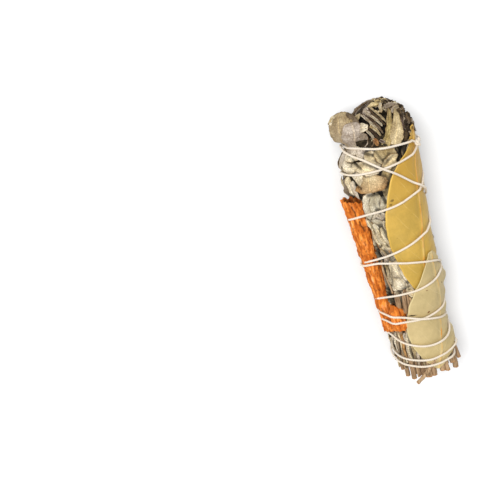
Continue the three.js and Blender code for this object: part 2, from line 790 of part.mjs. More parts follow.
function knotSolid() {
  const centre = skin(KNOT.station, KNOT.bearing, 1.5);
  const outward = polar(KNOT.station, KNOT.bearing, 1).sub(polar(KNOT.station, KNOT.bearing, 0));
  const round = new THREE.Vector3(0, 1, 0).cross(outward);
  const lay = (x, y, z) => centre.clone()
    .addScaledVector(round, x).addScaledVector(new THREE.Vector3(0, 1, 0), y).addScaledVector(outward, z);
  const loop = Array.from({ length: 18 }, (_, i) => {
    const t = 2 * Math.PI * i / 17 * 0.97;
    const reach = KNOT.size * (1 + 0.5 * Math.cos(3 * t));
    return lay(reach * Math.cos(2 * t), reach * Math.sin(2 * t), 0.75 * Math.sin(3 * t));
  });
  const middle = solid(new THREE.SphereGeometry(1.25, 8, 6).translate(...centre.toArray()));
  const tails = KNOT.tails.map(([along, aside]) => solid(sweep(new THREE.CatmullRomCurve3([
    lay(0, 0, 0), lay(0.5 * aside, 0.5 * along, 0.5), lay(aside, along, 0.1)]), 3, STRING_SIDES, STRING_RADIUS)));
  const turns = [0, 1, 2].map((part) => solid(sweep(
    new THREE.CatmullRomCurve3(loop.slice(part * 6, part * 6 + 6)), 6, STRING_SIDES, STRING_RADIUS)));
  return joined([middle, ...turns, ...tails]);
}

function winding() {
  const base = (PASSES_DOWN.at(-1).at(-1) + PASSES_UP[0][0]) / 2;
  const knotTurn = (90 - KNOT.bearing) / 360;
  const down = stationsAlong(PASSES_DOWN, null, base);
  const up = stationsAlong(PASSES_UP, base, 102.6);
  up.parameterPositions.push(PASSES_UP.length + knotTurn);
  up.sampleValues.push(KNOT.station);
  const lower = tighten(windingSamples(down, knotTurn, PASSES_DOWN.length - 0.25));
  const raised = tighten(windingSamples(up, -0.25, PASSES_UP.length + knotTurn));
  const overlap = Math.round(0.25 * STRING_STEPS);
  const upper = raised.map((point, i) => (i < overlap ? point : liftOver([point], lower)[0]));
  const start = { ...lower[0], station: KNOT.station, radius: lower[0].radius + 0.3 };
  return [windingCurve([start, ...lower.slice(1)]), windingCurve(upper)];
}

function stringSolids(curves, radius) {
  return curves.map((curve, i) => {
    const turns = i === 0 ? PASSES_DOWN.length : PASSES_UP.length;
    return solid(sweep(curve, turns * STRING_STEPS, STRING_SIDES, radius));
  });
}

// The finished solids
const stems = stemList();
const curves = winding();
const knot = knotSolid();
const cottonString = joined([...stringSolids(curves, STRING_RADIUS), knot]);

function sageBunch() {
  let bunch = joined([
    bodyCore(), capCore(DOME), capCore(FOLD), ...bodyLeaves(), ...baseStrips(), ...headLeaves(),
  ]);
  const rooms = [
    ...Object.values(BAY_LEAVES).map(bayRoom),
    quillRoom(LONG_QUILL), quillRoom(SHORT_QUILL),
    ...stems.map(stemRoom),
    ...stringSolids(curves, STRING_RADIUS + CLEARANCE),
    solid(new THREE.SphereGeometry(2.6, 8, 6).translate(...skin(KNOT.station, KNOT.bearing, 1.5).toArray())),
    solid(new THREE.BoxGeometry(80, 200, 20).translate(0, 60, -10)),
  ];
  for (const room of rooms) bunch = bunch.subtract(room);
  return thinned(bunch);
}

// The model
function piece(name, geometry, color, roughness) {
  const mesh = new THREE.Mesh(geometry, new THREE.MeshStandardMaterial({ color, roughness, metalness: 0 }));
  mesh.name = name;
  return mesh;
}

const stick = new THREE.Group();
stick.add(piece("sage_bunch", geometryOf(sageBunch()), COLOURS.sage, 0.95));
stems.forEach((stem, i) => {
  const name = `cut_stem_${String(i + 1).padStart(2, "0")}`;
  stick.add(piece(name, stemGeometry(stem), COLOURS.stem, 0.9));
});
stick.add(piece("bay_leaf_upper", bayLeaf(BAY_LEAVES.upper), COLOURS.bayUpper, 0.6));
stick.add(piece("bay_leaf_lower", bayLeaf(BAY_LEAVES.lower), COLOURS.bayLower, 0.7));
stick.add(piece("cinnamon_quill_long", rolledBark(LONG_QUILL), COLOURS.cinnamon, 0.8));
stick.add(piece("cinnamon_quill_short", rolledBark(SHORT_QUILL), COLOURS.cinnamon, 0.8));
stick.add(piece("cotton_string", geometryOf(cottonString.simplify(0.005)), COLOURS.string, 0.9));

// The origin is under the middle of the stick
stick.updateMatrixWorld(true);
const box = new THREE.Box3().setFromObject(stick);
stick.position.set(-(box.min.x + box.max.x) / 2, -(box.min.y + box.max.y) / 2, 0);

export default stick;
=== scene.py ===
"""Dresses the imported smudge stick: dried sage, bay leaves, cinnamon bark, cut stems and cotton string.

Lengths are millimetres until a mesh is made. A place on the stick is given by its station along +Y and its
bearing round the axis in degrees, where 0 is the front, which faces up, and 90 is +X.
"""

import json
import logging
import math
from collections.abc import Sequence
from dataclasses import dataclass
from enum import Enum
from functools import cache, partial

import bpy
import numpy as np
from bpy.types import Material, NodeSocket, NodeTree, Object
from mathutils import Matrix


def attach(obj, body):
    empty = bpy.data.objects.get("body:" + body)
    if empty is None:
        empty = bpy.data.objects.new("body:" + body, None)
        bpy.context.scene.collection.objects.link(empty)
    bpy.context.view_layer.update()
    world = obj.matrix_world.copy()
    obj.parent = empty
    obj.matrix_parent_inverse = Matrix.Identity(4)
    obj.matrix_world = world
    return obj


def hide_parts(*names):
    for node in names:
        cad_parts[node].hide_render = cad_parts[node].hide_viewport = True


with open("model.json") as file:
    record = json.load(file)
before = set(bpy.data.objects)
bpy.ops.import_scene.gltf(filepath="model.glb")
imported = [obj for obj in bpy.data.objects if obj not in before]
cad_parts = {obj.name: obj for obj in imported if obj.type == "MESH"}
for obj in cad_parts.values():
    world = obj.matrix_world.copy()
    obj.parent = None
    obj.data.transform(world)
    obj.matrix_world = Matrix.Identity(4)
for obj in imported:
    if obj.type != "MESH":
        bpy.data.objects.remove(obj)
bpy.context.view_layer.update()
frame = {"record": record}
LOG = logging.getLogger("smudge stick")
MM = 0.001
Array = np.ndarray


# Colour and noise


def linear(colour: str) -> tuple[float, float, float]:
    """Turns an sRGB hex colour into linear red, green and blue."""
    values = (int(colour[i : i + 2], 16) / 255 for i in (1, 3, 5))
    return tuple(v / 12.92 if v <= 0.04045 else ((v + 0.055) / 1.055) ** 2.4 for v in values)


def rgba(colour: str) -> tuple[float, float, float, float]:
    """Turns an sRGB hex colour into an opaque linear colour."""
    return (*linear(colour), 1.0)


class Waves:
    """Smooth random waves over a plane or through space, the same on each run."""

    def __init__(self, size: float, seed: int, dimensions: int = 2, count: int = 12) -> None:
        """Draws the waves.

        Args:
            size: The usual wavelength in millimetres.
            seed: The seed of the draws.
            dimensions: 2 over a plane, 3 through space.
            count: How many plane waves are summed.
        """
        draw = np.random.default_rng(seed)
        ways = draw.normal(size=(count, dimensions))
        ways /= np.linalg.norm(ways, axis=1, keepdims=True)
        self.vectors = ways * (2 * math.pi / (size * draw.uniform(0.7, 1.5, count)))[:, None]
        self.phases = draw.uniform(0, 2 * math.pi, count)

    def __call__(self, *places: Array) -> Array:
        """Returns the waves' height, mostly between -1 and 1."""
        place = np.stack(np.broadcast_arrays(*places), -1)
        return np.sin(place @ self.vectors.T + self.phases).sum(-1) / math.sqrt(len(self.phases))

    def creased(self, *places: Array) -> Array:
        """Returns ridges with sharp valleys between them, from about -1 to 0.4."""
        return 0.4 - 1.4 * np.exp(-3.0 * np.abs(self(*places)))


def ease(value: Array) -> Array:
    """Returns a smooth step from 0 at 0 to 1 at 1."""
    share = np.clip(value, 0, 1)
    return share * share * (3 - 2 * share)


def smoothed(grid: Array, wraps: bool = False) -> Array:
    """Returns a grid in which each value is blended with its four neighbours.

    Args:
        grid: The grid.
        wraps: True where the last column meets the first.

    Returns:
        The blended grid.
    """
    down = np.concatenate([grid[:1], grid[:-1]])
    up = np.concatenate([grid[1:], grid[-1:]])
    left = np.roll(grid, 1, axis=1) if wraps else np.concatenate([grid[:, :1], grid[:, :-1]], axis=1)
    right = np.roll(grid, -1, axis=1) if wraps else np.concatenate([grid[:, 1:], grid[:, -1:]], axis=1)
    return 0.4 * grid + 0.15 * (down + up + left + right)


def spread(grid: Array, times: int) -> Array:
    """Returns a grid in which each value is the highest of those up to so many cells away.

    Args:
        grid: The grid.
        times: How many cells away.

    Returns:
        The grid of highest values.
    """
    for _ in range(times):
        rows = np.maximum.reduce([grid, np.vstack([grid[:1], grid[:-1]]), np.vstack([grid[1:], grid[-1:]])])
        grid = np.maximum.reduce(
            [rows, np.hstack([rows[:, :1], rows[:, :-1]]), np.hstack([rows[:, 1:], rows[:, -1:]])]
        )
    return grid


def refined(grid: Array, times: int, both: bool = False) -> Array:
    """Returns a grid with more rows, and more columns if both is true, by straight interpolation.

    Args:
        grid: The grid.
        times: How many rows one row becomes.
        both: True for the columns too.

    Returns:
        The finer grid.
    """
    for axis in (0, 1) if both else (0,):
        last = grid.shape[axis] - 1
        at = np.linspace(0, last, last * times + 1)
        low = np.minimum(at.astype(int), last - 1)
        share = (at - low).reshape((-1, 1) if axis == 0 else (1, -1))
        grid = np.take(grid, low, axis) * (1 - share) + np.take(grid, low + 1, axis) * share
    return grid


# The bundle's outline


@dataclass(frozen=True)
class Bundle:
    """The bundle's outline: a round stick that widens to its head and is pressed flat underneath."""

    base_radius: float = 12.6
    shoulder_radius: float = 16.0
    taper_start: float = 25.0
    shoulder: float = 100.0
    sunk: float = 0.9
    mount_station: float = 56.0
    mount_aside: float = 0.5

    def envelope(self, station: Array) -> Array:
        """Returns the radius of the outline."""
        share = np.clip((station - self.taper_start) / (self.shoulder - self.taper_start), 0, 1)
        return self.base_radius + share * (self.shoulder_radius - self.base_radius)

    def axis_height(self, station: Array) -> Array:
        """Returns how high the axis lies over the floor."""
        return self.envelope(station) - self.sunk

    def polar(self, station: Array, bearing: Array, radius: Array) -> Array:
        """Returns the points at a distance from the axis.

        Args:
            station: Stations in millimetres.
            bearing: Bearings in degrees.
            radius: Distances from the axis.

        Returns:
            The points, in the shape of the places.
        """
        station, bearing, radius = np.broadcast_arrays(station, np.radians(bearing), radius)
        height = self.axis_height(station) + radius * np.cos(bearing)
        return np.stack([radius * np.sin(bearing), station, height], -1)

    def skin(self, station: Array, bearing: Array, lift: Array) -> Array:
        """Returns the points at a lift over the outline."""
        return self.polar(station, bearing, self.envelope(np.asarray(station, float)) + lift)

    def shift(self) -> Array:
        """Returns the move from this script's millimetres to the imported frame, from the rest mount."""
        mount = frame["record"]["mounts"][0]["pos_m"]
        return np.array([mount[0] / MM - self.mount_aside, mount[1] / MM - self.mount_station, 0.0])


BUNDLE = Bundle()
SHIFT = BUNDLE.shift()
# The radius at which the bundle is unrolled into a flat map
UNROLLED = 14.5
# That map's girth, to a tenth of a millimetre
GIRTH = 91.1


# Meshes


@cache
def shell_faces(rows: int, columns: int) -> Array:
    """Returns the faces of a closed thin sheet: its upper side, its lower side and its rim.

    Args:
        rows: How many rows of points the sheet has.
        columns: How many points a row has.

    Returns:
        The faces, each with four corners.
    """
    top = np.arange(rows * columns).reshape(rows, columns)
    low = top + rows * columns

    def quads(a: Array, b: Array, c: Array, d: Array) -> Array:
        """Returns one quad for each set of four corners."""
        return np.stack([a, b, c, d], -1).reshape(-1, 4)

    return np.concatenate(
        [
            quads(top[:-1, :-1], top[:-1, 1:], top[1:, 1:], top[1:, :-1]),
            quads(low[:-1, :-1], low[1:, :-1], low[1:, 1:], low[:-1, 1:]),
            quads(top[:-1, 0], top[1:, 0], low[1:, 0], low[:-1, 0]),
            quads(top[1:, -1], top[:-1, -1], low[:-1, -1], low[1:, -1]),
            quads(top[0, 1:], top[0, :-1], low[0, :-1], low[0, 1:]),
            quads(top[-1, :-1], top[-1, 1:], low[-1, 1:], low[-1, :-1]),
        ]
    )


def shell_points(middle: Array, thickness: float) -> Array:
    """Returns the points of both sides of a sheet whose middle is a grid of points.

    Args:
        middle: The grid of points half way through the sheet.
        thickness: Its thickness.

    Returns:
        The upper side's points, then the lower side's.
    """
    across = np.gradient(middle, axis=1)
    onward = np.gradient(middle, axis=0)
    normal = np.cross(across, onward)
    normal /= np.linalg.norm(normal, axis=-1, keepdims=True) + 1e-9
    half = 0.5 * thickness * normal
    return np.concatenate([(middle + half).reshape(-1, 3), (middle - half).reshape(-1, 3)])


def closed_tube(rings: Array) -> tuple[Array, Array]:
    """Closes a tube at both ends.

    Args:
        rings: The points, a row for each ring, with an even number in each.

    Returns:
        The points with a hub at each end, and the faces.
    """
    rows, columns = rings.shape[:2]
    points = rings.reshape(-1, 3)
    index = np.arange(rows * columns).reshape(rows, columns)
    after = np.roll(index, -1, axis=1)
    wall = np.stack([index[:-1], after[:-1], after[1:], index[1:]], -1).reshape(-1, 4)
    hubs = np.array([points[:columns].mean(0), points[-columns:].mean(0)])
    pair = np.arange(0, columns, 2)
    following = (pair + 2) % columns
    first, last = 0 * pair + rows * columns, 0 * pair + rows * columns + 1
    low = np.stack([first, following, pair + 1, pair], -1)
    high = np.stack([last, index[-1][pair], index[-1][pair + 1], index[-1][following]], -1)
    return np.concatenate([points, hubs]), np.concatenate([wall, low, high])


def make_object(
    name: str, points: Array, faces: Array, material: Material,
    values: dict[str, Array], uv: Array | None = None
) -> Object:
    """Makes a smooth-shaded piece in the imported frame.

    Args:
        name: The piece's name.
        points: Its points in millimetres.
        faces: Its faces, all with four corners.
        material: Its finish.
        values: Named numbers or colours, one for each point.
        uv: A place on its pattern in millimetres for each point.

    Returns:
        The piece, at the origin.
    """
    mesh = bpy.data.meshes.new(name)
    mesh.vertices.add(len(points))
    mesh.vertices.foreach_set("co", ((points + SHIFT) * MM).astype(np.float32).ravel())
    mesh.loops.add(faces.size)
    mesh.loops.foreach_set("vertex_index", faces.astype(np.int32).ravel())
    mesh.polygons.add(len(faces))
    mesh.polygons.foreach_set("loop_start", np.arange(0, faces.size, 4, dtype=np.int32))
    mesh.update(calc_edges=True)
    mesh.polygons.foreach_set("use_smooth", np.ones(len(faces), bool))
    for key, value in values.items():
        if value.ndim == 1:
            mesh.attributes.new(key, "FLOAT", "POINT").data.foreach_set("value", value.astype(np.float32))
        else:
            colour = np.concatenate([value, np.ones((len(value), 1))], 1).astype(np.float32)
            mesh.attributes.new(key, "FLOAT_COLOR", "POINT").data.foreach_set("color", colour.ravel())
    if uv is not None:
        layer = mesh.uv_layers.new(name="pattern")
        layer.data.foreach_set("uv", uv[faces.ravel()].astype(np.float32).ravel())
    mesh.validate()
    mesh.materials.append(material)
    piece = bpy.data.objects.new(name, mesh)
    bpy.context.scene.collection.objects.link(piece)
    return piece


class Pile:
    """Gathers many small sheets into one mesh."""

    def __init__(self) -> None:
        """Starts with nothing."""
        self.points: list[Array] = []
        self.faces: list[Array] = []
        self.uv: list[Array] = []
        self.tints: list[Array] = []
        self.rims: list[Array] = []
        self.count = 0

    def add_sheet(
        self, middle: Array, thickness: float, tints: tuple["SageTint", "SageTint"],
        size: tuple[float, float], seed: int, shade: Array
    ) -> None:
        """Adds a closed sheet.

        Args:
            middle: The grid of points half way through it.
            thickness: Its thickness.
            tints: Its colour near the root and the one near the rim and the tip.
            size: Its length and width in millimetres, for the pattern on it.
            seed: The seed that moves the pattern.
            shade: What its colour is multiplied by at each point, as painted shade where it lies deep or in a
                hollow.
        """
        rows, columns = middle.shape[:2]
        points = shell_points(middle, thickness)
        along = np.linspace(0, 1, rows)[:, None] + np.zeros(columns)
        across = np.linspace(-1, 1, columns) + np.zeros((rows, 1))
        uv = np.stack([0.5 * size[1] * across, size[0] * along + 10.0 * (seed % 97)], -1).reshape(-1, 2)
        rim = np.maximum(np.abs(across), np.abs(2 * along - 1) ** 3).ravel()
        share = np.clip(0.5 * across**2 + 0.7 * along**2, 0, 1).reshape(-1, 1)
        first, second = (np.array(linear(tint.value)) for tint in tints)
        tint = (first + share * (second - first)) * shade.reshape(-1, 1)
        self.points.append(points)
        self.faces.append(shell_faces(rows, columns) + self.count)
        self.uv.append(np.concatenate([uv, uv]))
        self.tints.append(np.concatenate([tint, tint]))
        self.rims.append(np.concatenate([rim, rim]))
        self.count += len(points)

    def build(self, name: str, material: Material) -> Object:
        """Makes the piece.

        Args:
            name: The piece's name.
            material: Its finish.

        Returns:
            The piece.
        """
        return make_object(
            name, np.concatenate(self.points), np.concatenate(self.faces), material,
            {"tint": np.concatenate(self.tints), "rim": np.concatenate(self.rims)}, np.concatenate(self.uv)
        )


# Finishes


class Kind(Enum):
    """The nodes that are used again and again: each one's type, settings, inputs and output."""

    TIMES = ("ShaderNodeMath", {"operation": "MULTIPLY"}, (0, 1), 0)
    PLUS = ("ShaderNodeMath", {"operation": "ADD"}, (0, 1), 0)
    MINUS = ("ShaderNodeMath", {"operation": "SUBTRACT"}, (0, 1), 0)
    OVER = ("ShaderNodeMath", {"operation": "DIVIDE"}, (0, 1), 0)
    POWER = ("ShaderNodeMath", {"operation": "POWER"}, (0, 1), 0)
    LARGER = ("ShaderNodeMath", {"operation": "MAXIMUM"}, (0, 1), 0)
    SIZE = ("ShaderNodeMath", {"operation": "ABSOLUTE"}, (0,), 0)
    BOUNCE = ("ShaderNodeMath", {"operation": "PINGPONG"}, (0, 1), 0)
    RAMP = ("ShaderNodeMapRange", {"interpolation_type": "SMOOTHSTEP"}, (0, 1, 2), 0)
    BLEND = ("ShaderNodeMix", {"data_type": "RGBA"}, (0, 6, 7), 2)
    TINT = ("ShaderNodeMix", {"data_type": "RGBA", "blend_type": "MULTIPLY"}, (0, 6, 7), 2)
    NOISE = ("ShaderNodeTexNoise", {}, ("Vector", "Scale", "Detail", "Roughness"), "Fac")


Given = NodeSocket | float | str | tuple


def add(tree: NodeTree, kind: Kind | str, *values: Given, out: int | str = 0, **more: Given) -> NodeSocket:
    """Adds a node with its settings and links.

    Args:
        tree: The node tree.
        kind: One of the kinds above, or a node's type.
        *values: Values or sockets for its inputs, in order.
        out: The output that is wanted, where the kind is a node's type.
        **more: Its settings, in small letters, and inputs by name or by number, where i3 is the fourth.

    Returns:
        The output, whose node has the others.
    """
    known = kind.value if isinstance(kind, Kind) else (kind, {}, range(len(values)), out)
    node = tree.nodes.new(known[0])
    settings, inputs = dict(known[1]), dict(zip(known[2], values))
    for key, value in more.items():
        if key[1:].isdigit():
            inputs[int(key[1:])] = value
        elif key[0].islower():
            settings[key] = value
        else:
            inputs[key.replace("_", " ")] = value
    for key, value in settings.items():
        setattr(node, key, value)
    for key, value in inputs.items():
        if isinstance(value, NodeSocket):
            tree.links.new(value, node.inputs[key])
        else:
            node.inputs[key].default_value = value
    return node.outputs[known[3]]


@dataclass(frozen=True)
class Finish:
    """What all finishes share: a name, a roughness and the way to the shader."""

    name: str
    roughness: float

    def material(self) -> Material:
        """Makes the material.

        Returns:
            The material.
        """
        material = bpy.data.materials.new(self.name)
        material.use_nodes = True
        material.node_tree.nodes["Principled BSDF"].inputs["Roughness"].default_value = self.roughness
        self.dress(material.node_tree)
        return material

    def dress(self, tree: NodeTree) -> None:
        """Adds the finish's own nodes."""
        raise NotImplementedError

    def wire(
        self, tree: NodeTree, colour: NodeSocket, relief: NodeSocket | None,
        bump: tuple[float, float], gloss: float, sheen: float = 0.0
    ) -> None:
        """Joins the finish's colour and relief to the shader.

        Args:
            tree: The material's nodes.
            colour: The colour.
            relief: The height of the bumps, or None for none.
            bump: The bumps' strength, and their height in millimetres.
            gloss: The share of the mirror-like reflection.
            sheen: The share of light that fine hairs scatter at the edges.
        """
        shader = tree.nodes["Principled BSDF"]
        tree.links.new(colour, shader.inputs["Base Color"])
        shader.inputs["Specular IOR Level"].default_value = gloss
        shader.inputs["Sheen Weight"].default_value = sheen
        if relief:
            raised = add(tree, "ShaderNodeBump", Strength=bump[0], Distance=bump[1] * MM, Height=relief)
            tree.links.new(raised, shader.inputs["Normal"])


@dataclass(frozen=True)
class DriedSage(Finish):
    """Dried white sage leaf: a matt felt of fine hairs, mottled, with a pale midrib, a net of veins and
    painted shade in the grooves between its pebbles.
    """

    felt: float = 0.35
    mottle: float = 4.5
    vein_gap: float = 2.6
    pebble: float = 0.9
    rib: tuple[float, float, float, float] = (1.35, 1.32, 1.2, 1.0)
    # The colour that the grooves between the pebbles are multiplied by, as painted shade.
    groove_shade: tuple[float, float, float, float] = (0.5, 0.46, 0.4, 1.0)
    burn: tuple[float, float, float, float] = (0.42, 0.31, 0.2, 1.0)

    def dress(self, tree: NodeTree) -> None:
        """Adds the felt, the mottling, the veins, the painted shade in the grooves between the pebbles and
        the browned edges.

        Args:
            tree: The material's nodes.
        """
        node = partial(add, tree)
        place = node("ShaderNodeUVMap", uv_map="pattern")
        tint = node("ShaderNodeAttribute", attribute_name="tint", out="Color")
        rim = node("ShaderNodeAttribute", attribute_name="rim", out="Fac")
        split = node("ShaderNodeSeparateXYZ", place)
        aside = node(Kind.SIZE, split)
        cloudy = node(Kind.NOISE, place, 1 / self.mottle, 4.0, 0.6)
        felt = node(Kind.NOISE, place, 1 / self.felt, 2.0, 0.6)
        patches = node(
            Kind.BLEND, node(Kind.RAMP, cloudy, 0.34, 0.66), (0.68, 0.64, 0.58, 1), (1.18, 1.2, 1.22, 1)
        )
        colour = node(Kind.TINT, 1.0, tint, patches)
        slope = node(Kind.MINUS, split.node.outputs[1], node(Kind.TIMES, aside, 0.8))
        warped = node(Kind.PLUS, slope, node(Kind.TIMES, cloudy, 2.4))
        wave = node(Kind.BOUNCE, warped, 0.5 * self.vein_gap)
        veins = node(Kind.RAMP, wave, 0.2, 0.03)
        midrib = node(Kind.RAMP, aside, 0.4, 0.14)
        net = node(Kind.LARGER, node(Kind.TIMES, veins, 0.5), midrib)
        colour = node(Kind.BLEND, node(Kind.TIMES, net, 0.8), colour, node(Kind.TINT, 1.0, colour, self.rib))
        cells = node(
            "ShaderNodeTexVoronoi", feature="DISTANCE_TO_EDGE", Vector=place, Scale=1 / self.pebble,
            out="Distance"
        )
        # Painted shade: the grooves between the pebbles are darkened as well as sunk.
        grooves = node(Kind.RAMP, cells, 0.14, 0.0)
        colour = node(
            Kind.BLEND, node(Kind.TIMES, grooves, 0.55), colour, node(Kind.TINT, 1.0, colour, self.groove_shade)
        )
        speck = node(Kind.RAMP, node(Kind.NOISE, place, 1 / 1.1, 2.0, 0.6), 0.64, 0.72)
        edge = node(Kind.TIMES, node(Kind.RAMP, rim, 0.9, 0.99), node(Kind.RAMP, cloudy, 0.42, 0.56))
        brown = node(Kind.LARGER, node(Kind.TIMES, speck, 0.7), edge)
        colour = node(Kind.BLEND, brown, colour, node(Kind.TINT, 1.0, colour, self.burn))
        furred = node(
            Kind.BLEND, node(Kind.RAMP, felt, 0.35, 0.8), (0.78, 0.77, 0.75, 1), (1.22, 1.22, 1.24, 1)
        )
        colour = node(Kind.TINT, 1.0, colour, furred)
        relief = node(Kind.PLUS, node(Kind.TIMES, felt, 0.3), node(Kind.TIMES, net, -0.5))
        relief = node(Kind.MINUS, relief, node(Kind.TIMES, grooves, 0.6))
        self.wire(tree, colour, relief, (0.8, 0.25), 0.15, 0.05)


@dataclass(frozen=True)
class ShadedInnerSage(Finish):
    """Packed leaf deep inside the bundle, as painted shade: near-black brown crumbs that show only in the
    gaps.
    """

    def dress(self, tree: NodeTree) -> None:
        """Adds the crumbs.

        Args:
            tree: The material's nodes.
        """
        node = partial(add, tree)
        place = node("ShaderNodeTexCoord", out="Object")
        crumbs = node(Kind.NOISE, place, 1 / 0.0012, 4.0, 0.7)
        # Painted shade: the crumbs are near black, for the shadow deep in the gaps.
        colour = node(Kind.BLEND, node(Kind.RAMP, crumbs, 0.35, 0.7), rgba("#1d1811"), rgba("#4a3f2e"))
        self.wire(tree, colour, crumbs, (1.0, 0.8), 0.1)


@dataclass(frozen=True)
class CrumbledSage(Finish):
    """Broken sage leaf: small bits in the colours of whole leaves, each bit of one colour."""

    shades: tuple[str, ...] = ("#3f3428", "#6f5c44", "#9c8c78", "#b39d70", "#d3c5a3", "#8a7a62", "#e0d4bb")

    def dress(self, tree: NodeTree) -> None:
        """Adds the colours and a fine mottling.

        Args:
            tree: The material's nodes.
        """
        node = partial(add, tree)
        place = node("ShaderNodeTexCoord", out="Object")
        hue = node("ShaderNodeAttribute", attribute_name="hue", out="Fac")
        steps = node("ShaderNodeValToRGB", hue)
        steps.node.color_ramp.interpolation = "CONSTANT"
        stops = steps.node.color_ramp.elements
        for number, shade in enumerate(self.shades):
            stop = stops[number] if number < 2 else stops.new(number / len(self.shades))
            stop.position = number / len(self.shades)
            stop.color = rgba(shade)
        mottle = node(Kind.NOISE, place, 1 / 0.0005, 3.0, 0.6)
        soft = node(
            Kind.BLEND, node(Kind.RAMP, mottle, 0.3, 0.7), (0.7, 0.68, 0.64, 1), (1.15, 1.15, 1.15, 1)
        )
        self.wire(tree, node(Kind.TINT, 1.0, steps, soft), None, (0.0, 0.0), 0.15)


@dataclass(frozen=True)
class DriedBay(Finish):
    """Dried bay leaf: thin, tough and satin, with an orange midrib, raised pale veins and brown specks."""

    blade: str = "#c6a148"
    shade: str = "#8f7730"
    # A pale rim along the blade's edge: a painted highlight.
    rim: str = "#e4bb58"
    rib: str = "#d8973a"
    vein: str = "#dcbb6c"
    tip: str = "#b98e33"
    tip_from: float = 200.0
    rib_width: float = 0.3
    vein_gap: float = 8.0
    vein_slope: float = 1.12
    marks: tuple[tuple[float, float, float, float, str], ...] = ()

    def dress(self, tree: NodeTree) -> None:
        """Adds the shades of the blade, the veins, the painted highlight along the rim and the specks.

        Args:
            tree: The material's nodes.
        """
        node = partial(add, tree)
        place = node("ShaderNodeUVMap", uv_map="pattern")
        rim = node("ShaderNodeAttribute", attribute_name="rim", out="Fac")
        split = node("ShaderNodeSeparateXYZ", place)
        aside = node(Kind.SIZE, split)
        cloudy = node(Kind.NOISE, place, 1 / 9.0, 3.0, 0.6)
        fine = node(Kind.NOISE, place, 1 / 0.5, 3.0, 0.6)
        colour = node(Kind.BLEND, node(Kind.RAMP, cloudy, 0.32, 0.72), rgba(self.shade), rgba(self.blade))
        colour = node(Kind.BLEND, 0.6, colour, rgba(self.blade))
        tipped = node(Kind.RAMP, split.node.outputs[1], self.tip_from, self.tip_from + 28.0)
        colour = node(Kind.BLEND, node(Kind.TIMES, tipped, 0.75), colour, rgba(self.tip))
        bowed = node(Kind.TIMES, node(Kind.POWER, aside, 1.15), self.vein_slope * 0.74)
        slope = node(Kind.MINUS, split.node.outputs[1], bowed)
        warped = node(Kind.PLUS, slope, node(Kind.TIMES, cloudy, 3.0))
        wave = node(Kind.BOUNCE, warped, 0.5 * self.vein_gap)
        faded = node(
            Kind.TIMES, node(Kind.RAMP, aside, 15.0, 5.0),
            node(Kind.RAMP, node(Kind.NOISE, place, 1 / 6.0, 2.0, 0.6), 0.34, 0.6)
        )
        veins = node(Kind.TIMES, node(Kind.RAMP, wave, 0.34, 0.06), faded)
        cells = node(
            "ShaderNodeTexVoronoi", feature="DISTANCE_TO_EDGE", Vector=place, Scale=0.9, out="Distance"
        )
        net = node(Kind.RAMP, cells, 0.07, 0.0)
        midrib = node(Kind.RAMP, aside, self.rib_width + 0.3, self.rib_width)
        worn = node(Kind.RAMP, node(Kind.NOISE, place, 1 / 7.0, 2.0, 0.6), 0.3, 0.62)
        colour = node(Kind.BLEND, node(Kind.TIMES, net, 0.16), colour, rgba(self.shade))
        colour = node(Kind.BLEND, node(Kind.TIMES, veins, 0.5), colour, rgba(self.vein))
        rib = node(Kind.BLEND, worn, rgba(self.vein), rgba(self.rib))
        colour = node(Kind.BLEND, node(Kind.TIMES, midrib, 0.85), colour, rib)
        # Painted highlight: the blade is paler along its rim.
        colour = node(
            Kind.BLEND, node(Kind.TIMES, node(Kind.RAMP, rim, 0.93, 0.99), 0.8), colour, rgba(self.rim)
        )
        speck = node(Kind.RAMP, node(Kind.NOISE, place, 1 / 1.0, 2.0, 0.6), 0.7, 0.76)
        colour = node(Kind.BLEND, node(Kind.TIMES, speck, 0.65), colour, rgba("#6b4f22"))
        wobble = node("ShaderNodeTexNoise", Vector=place, Scale=1.6, Detail=2.0, out="Color")
        moved = node("ShaderNodeVectorMath", place, wobble, operation="ADD")
        for x, y, wide, long, stain in self.marks:
            away = node("ShaderNodeVectorMath", moved, (x + 0.5, y + 0.5, 0.5), operation="SUBTRACT")
            share = node("ShaderNodeVectorMath", away, (wide, long, 9.0), operation="DIVIDE")
            reach = node("ShaderNodeVectorMath", share, operation="LENGTH", out="Value")
            colour = node(Kind.BLEND, node(Kind.RAMP, reach, 1.1, 0.6), colour, rgba(stain))
        relief = node(Kind.PLUS, node(Kind.TIMES, fine, 0.25), node(Kind.TIMES, veins, 0.8))
        relief = node(Kind.PLUS, relief, node(Kind.TIMES, net, 0.2))
        self.wire(tree, colour, relief, (0.5, 0.25), 0.35)


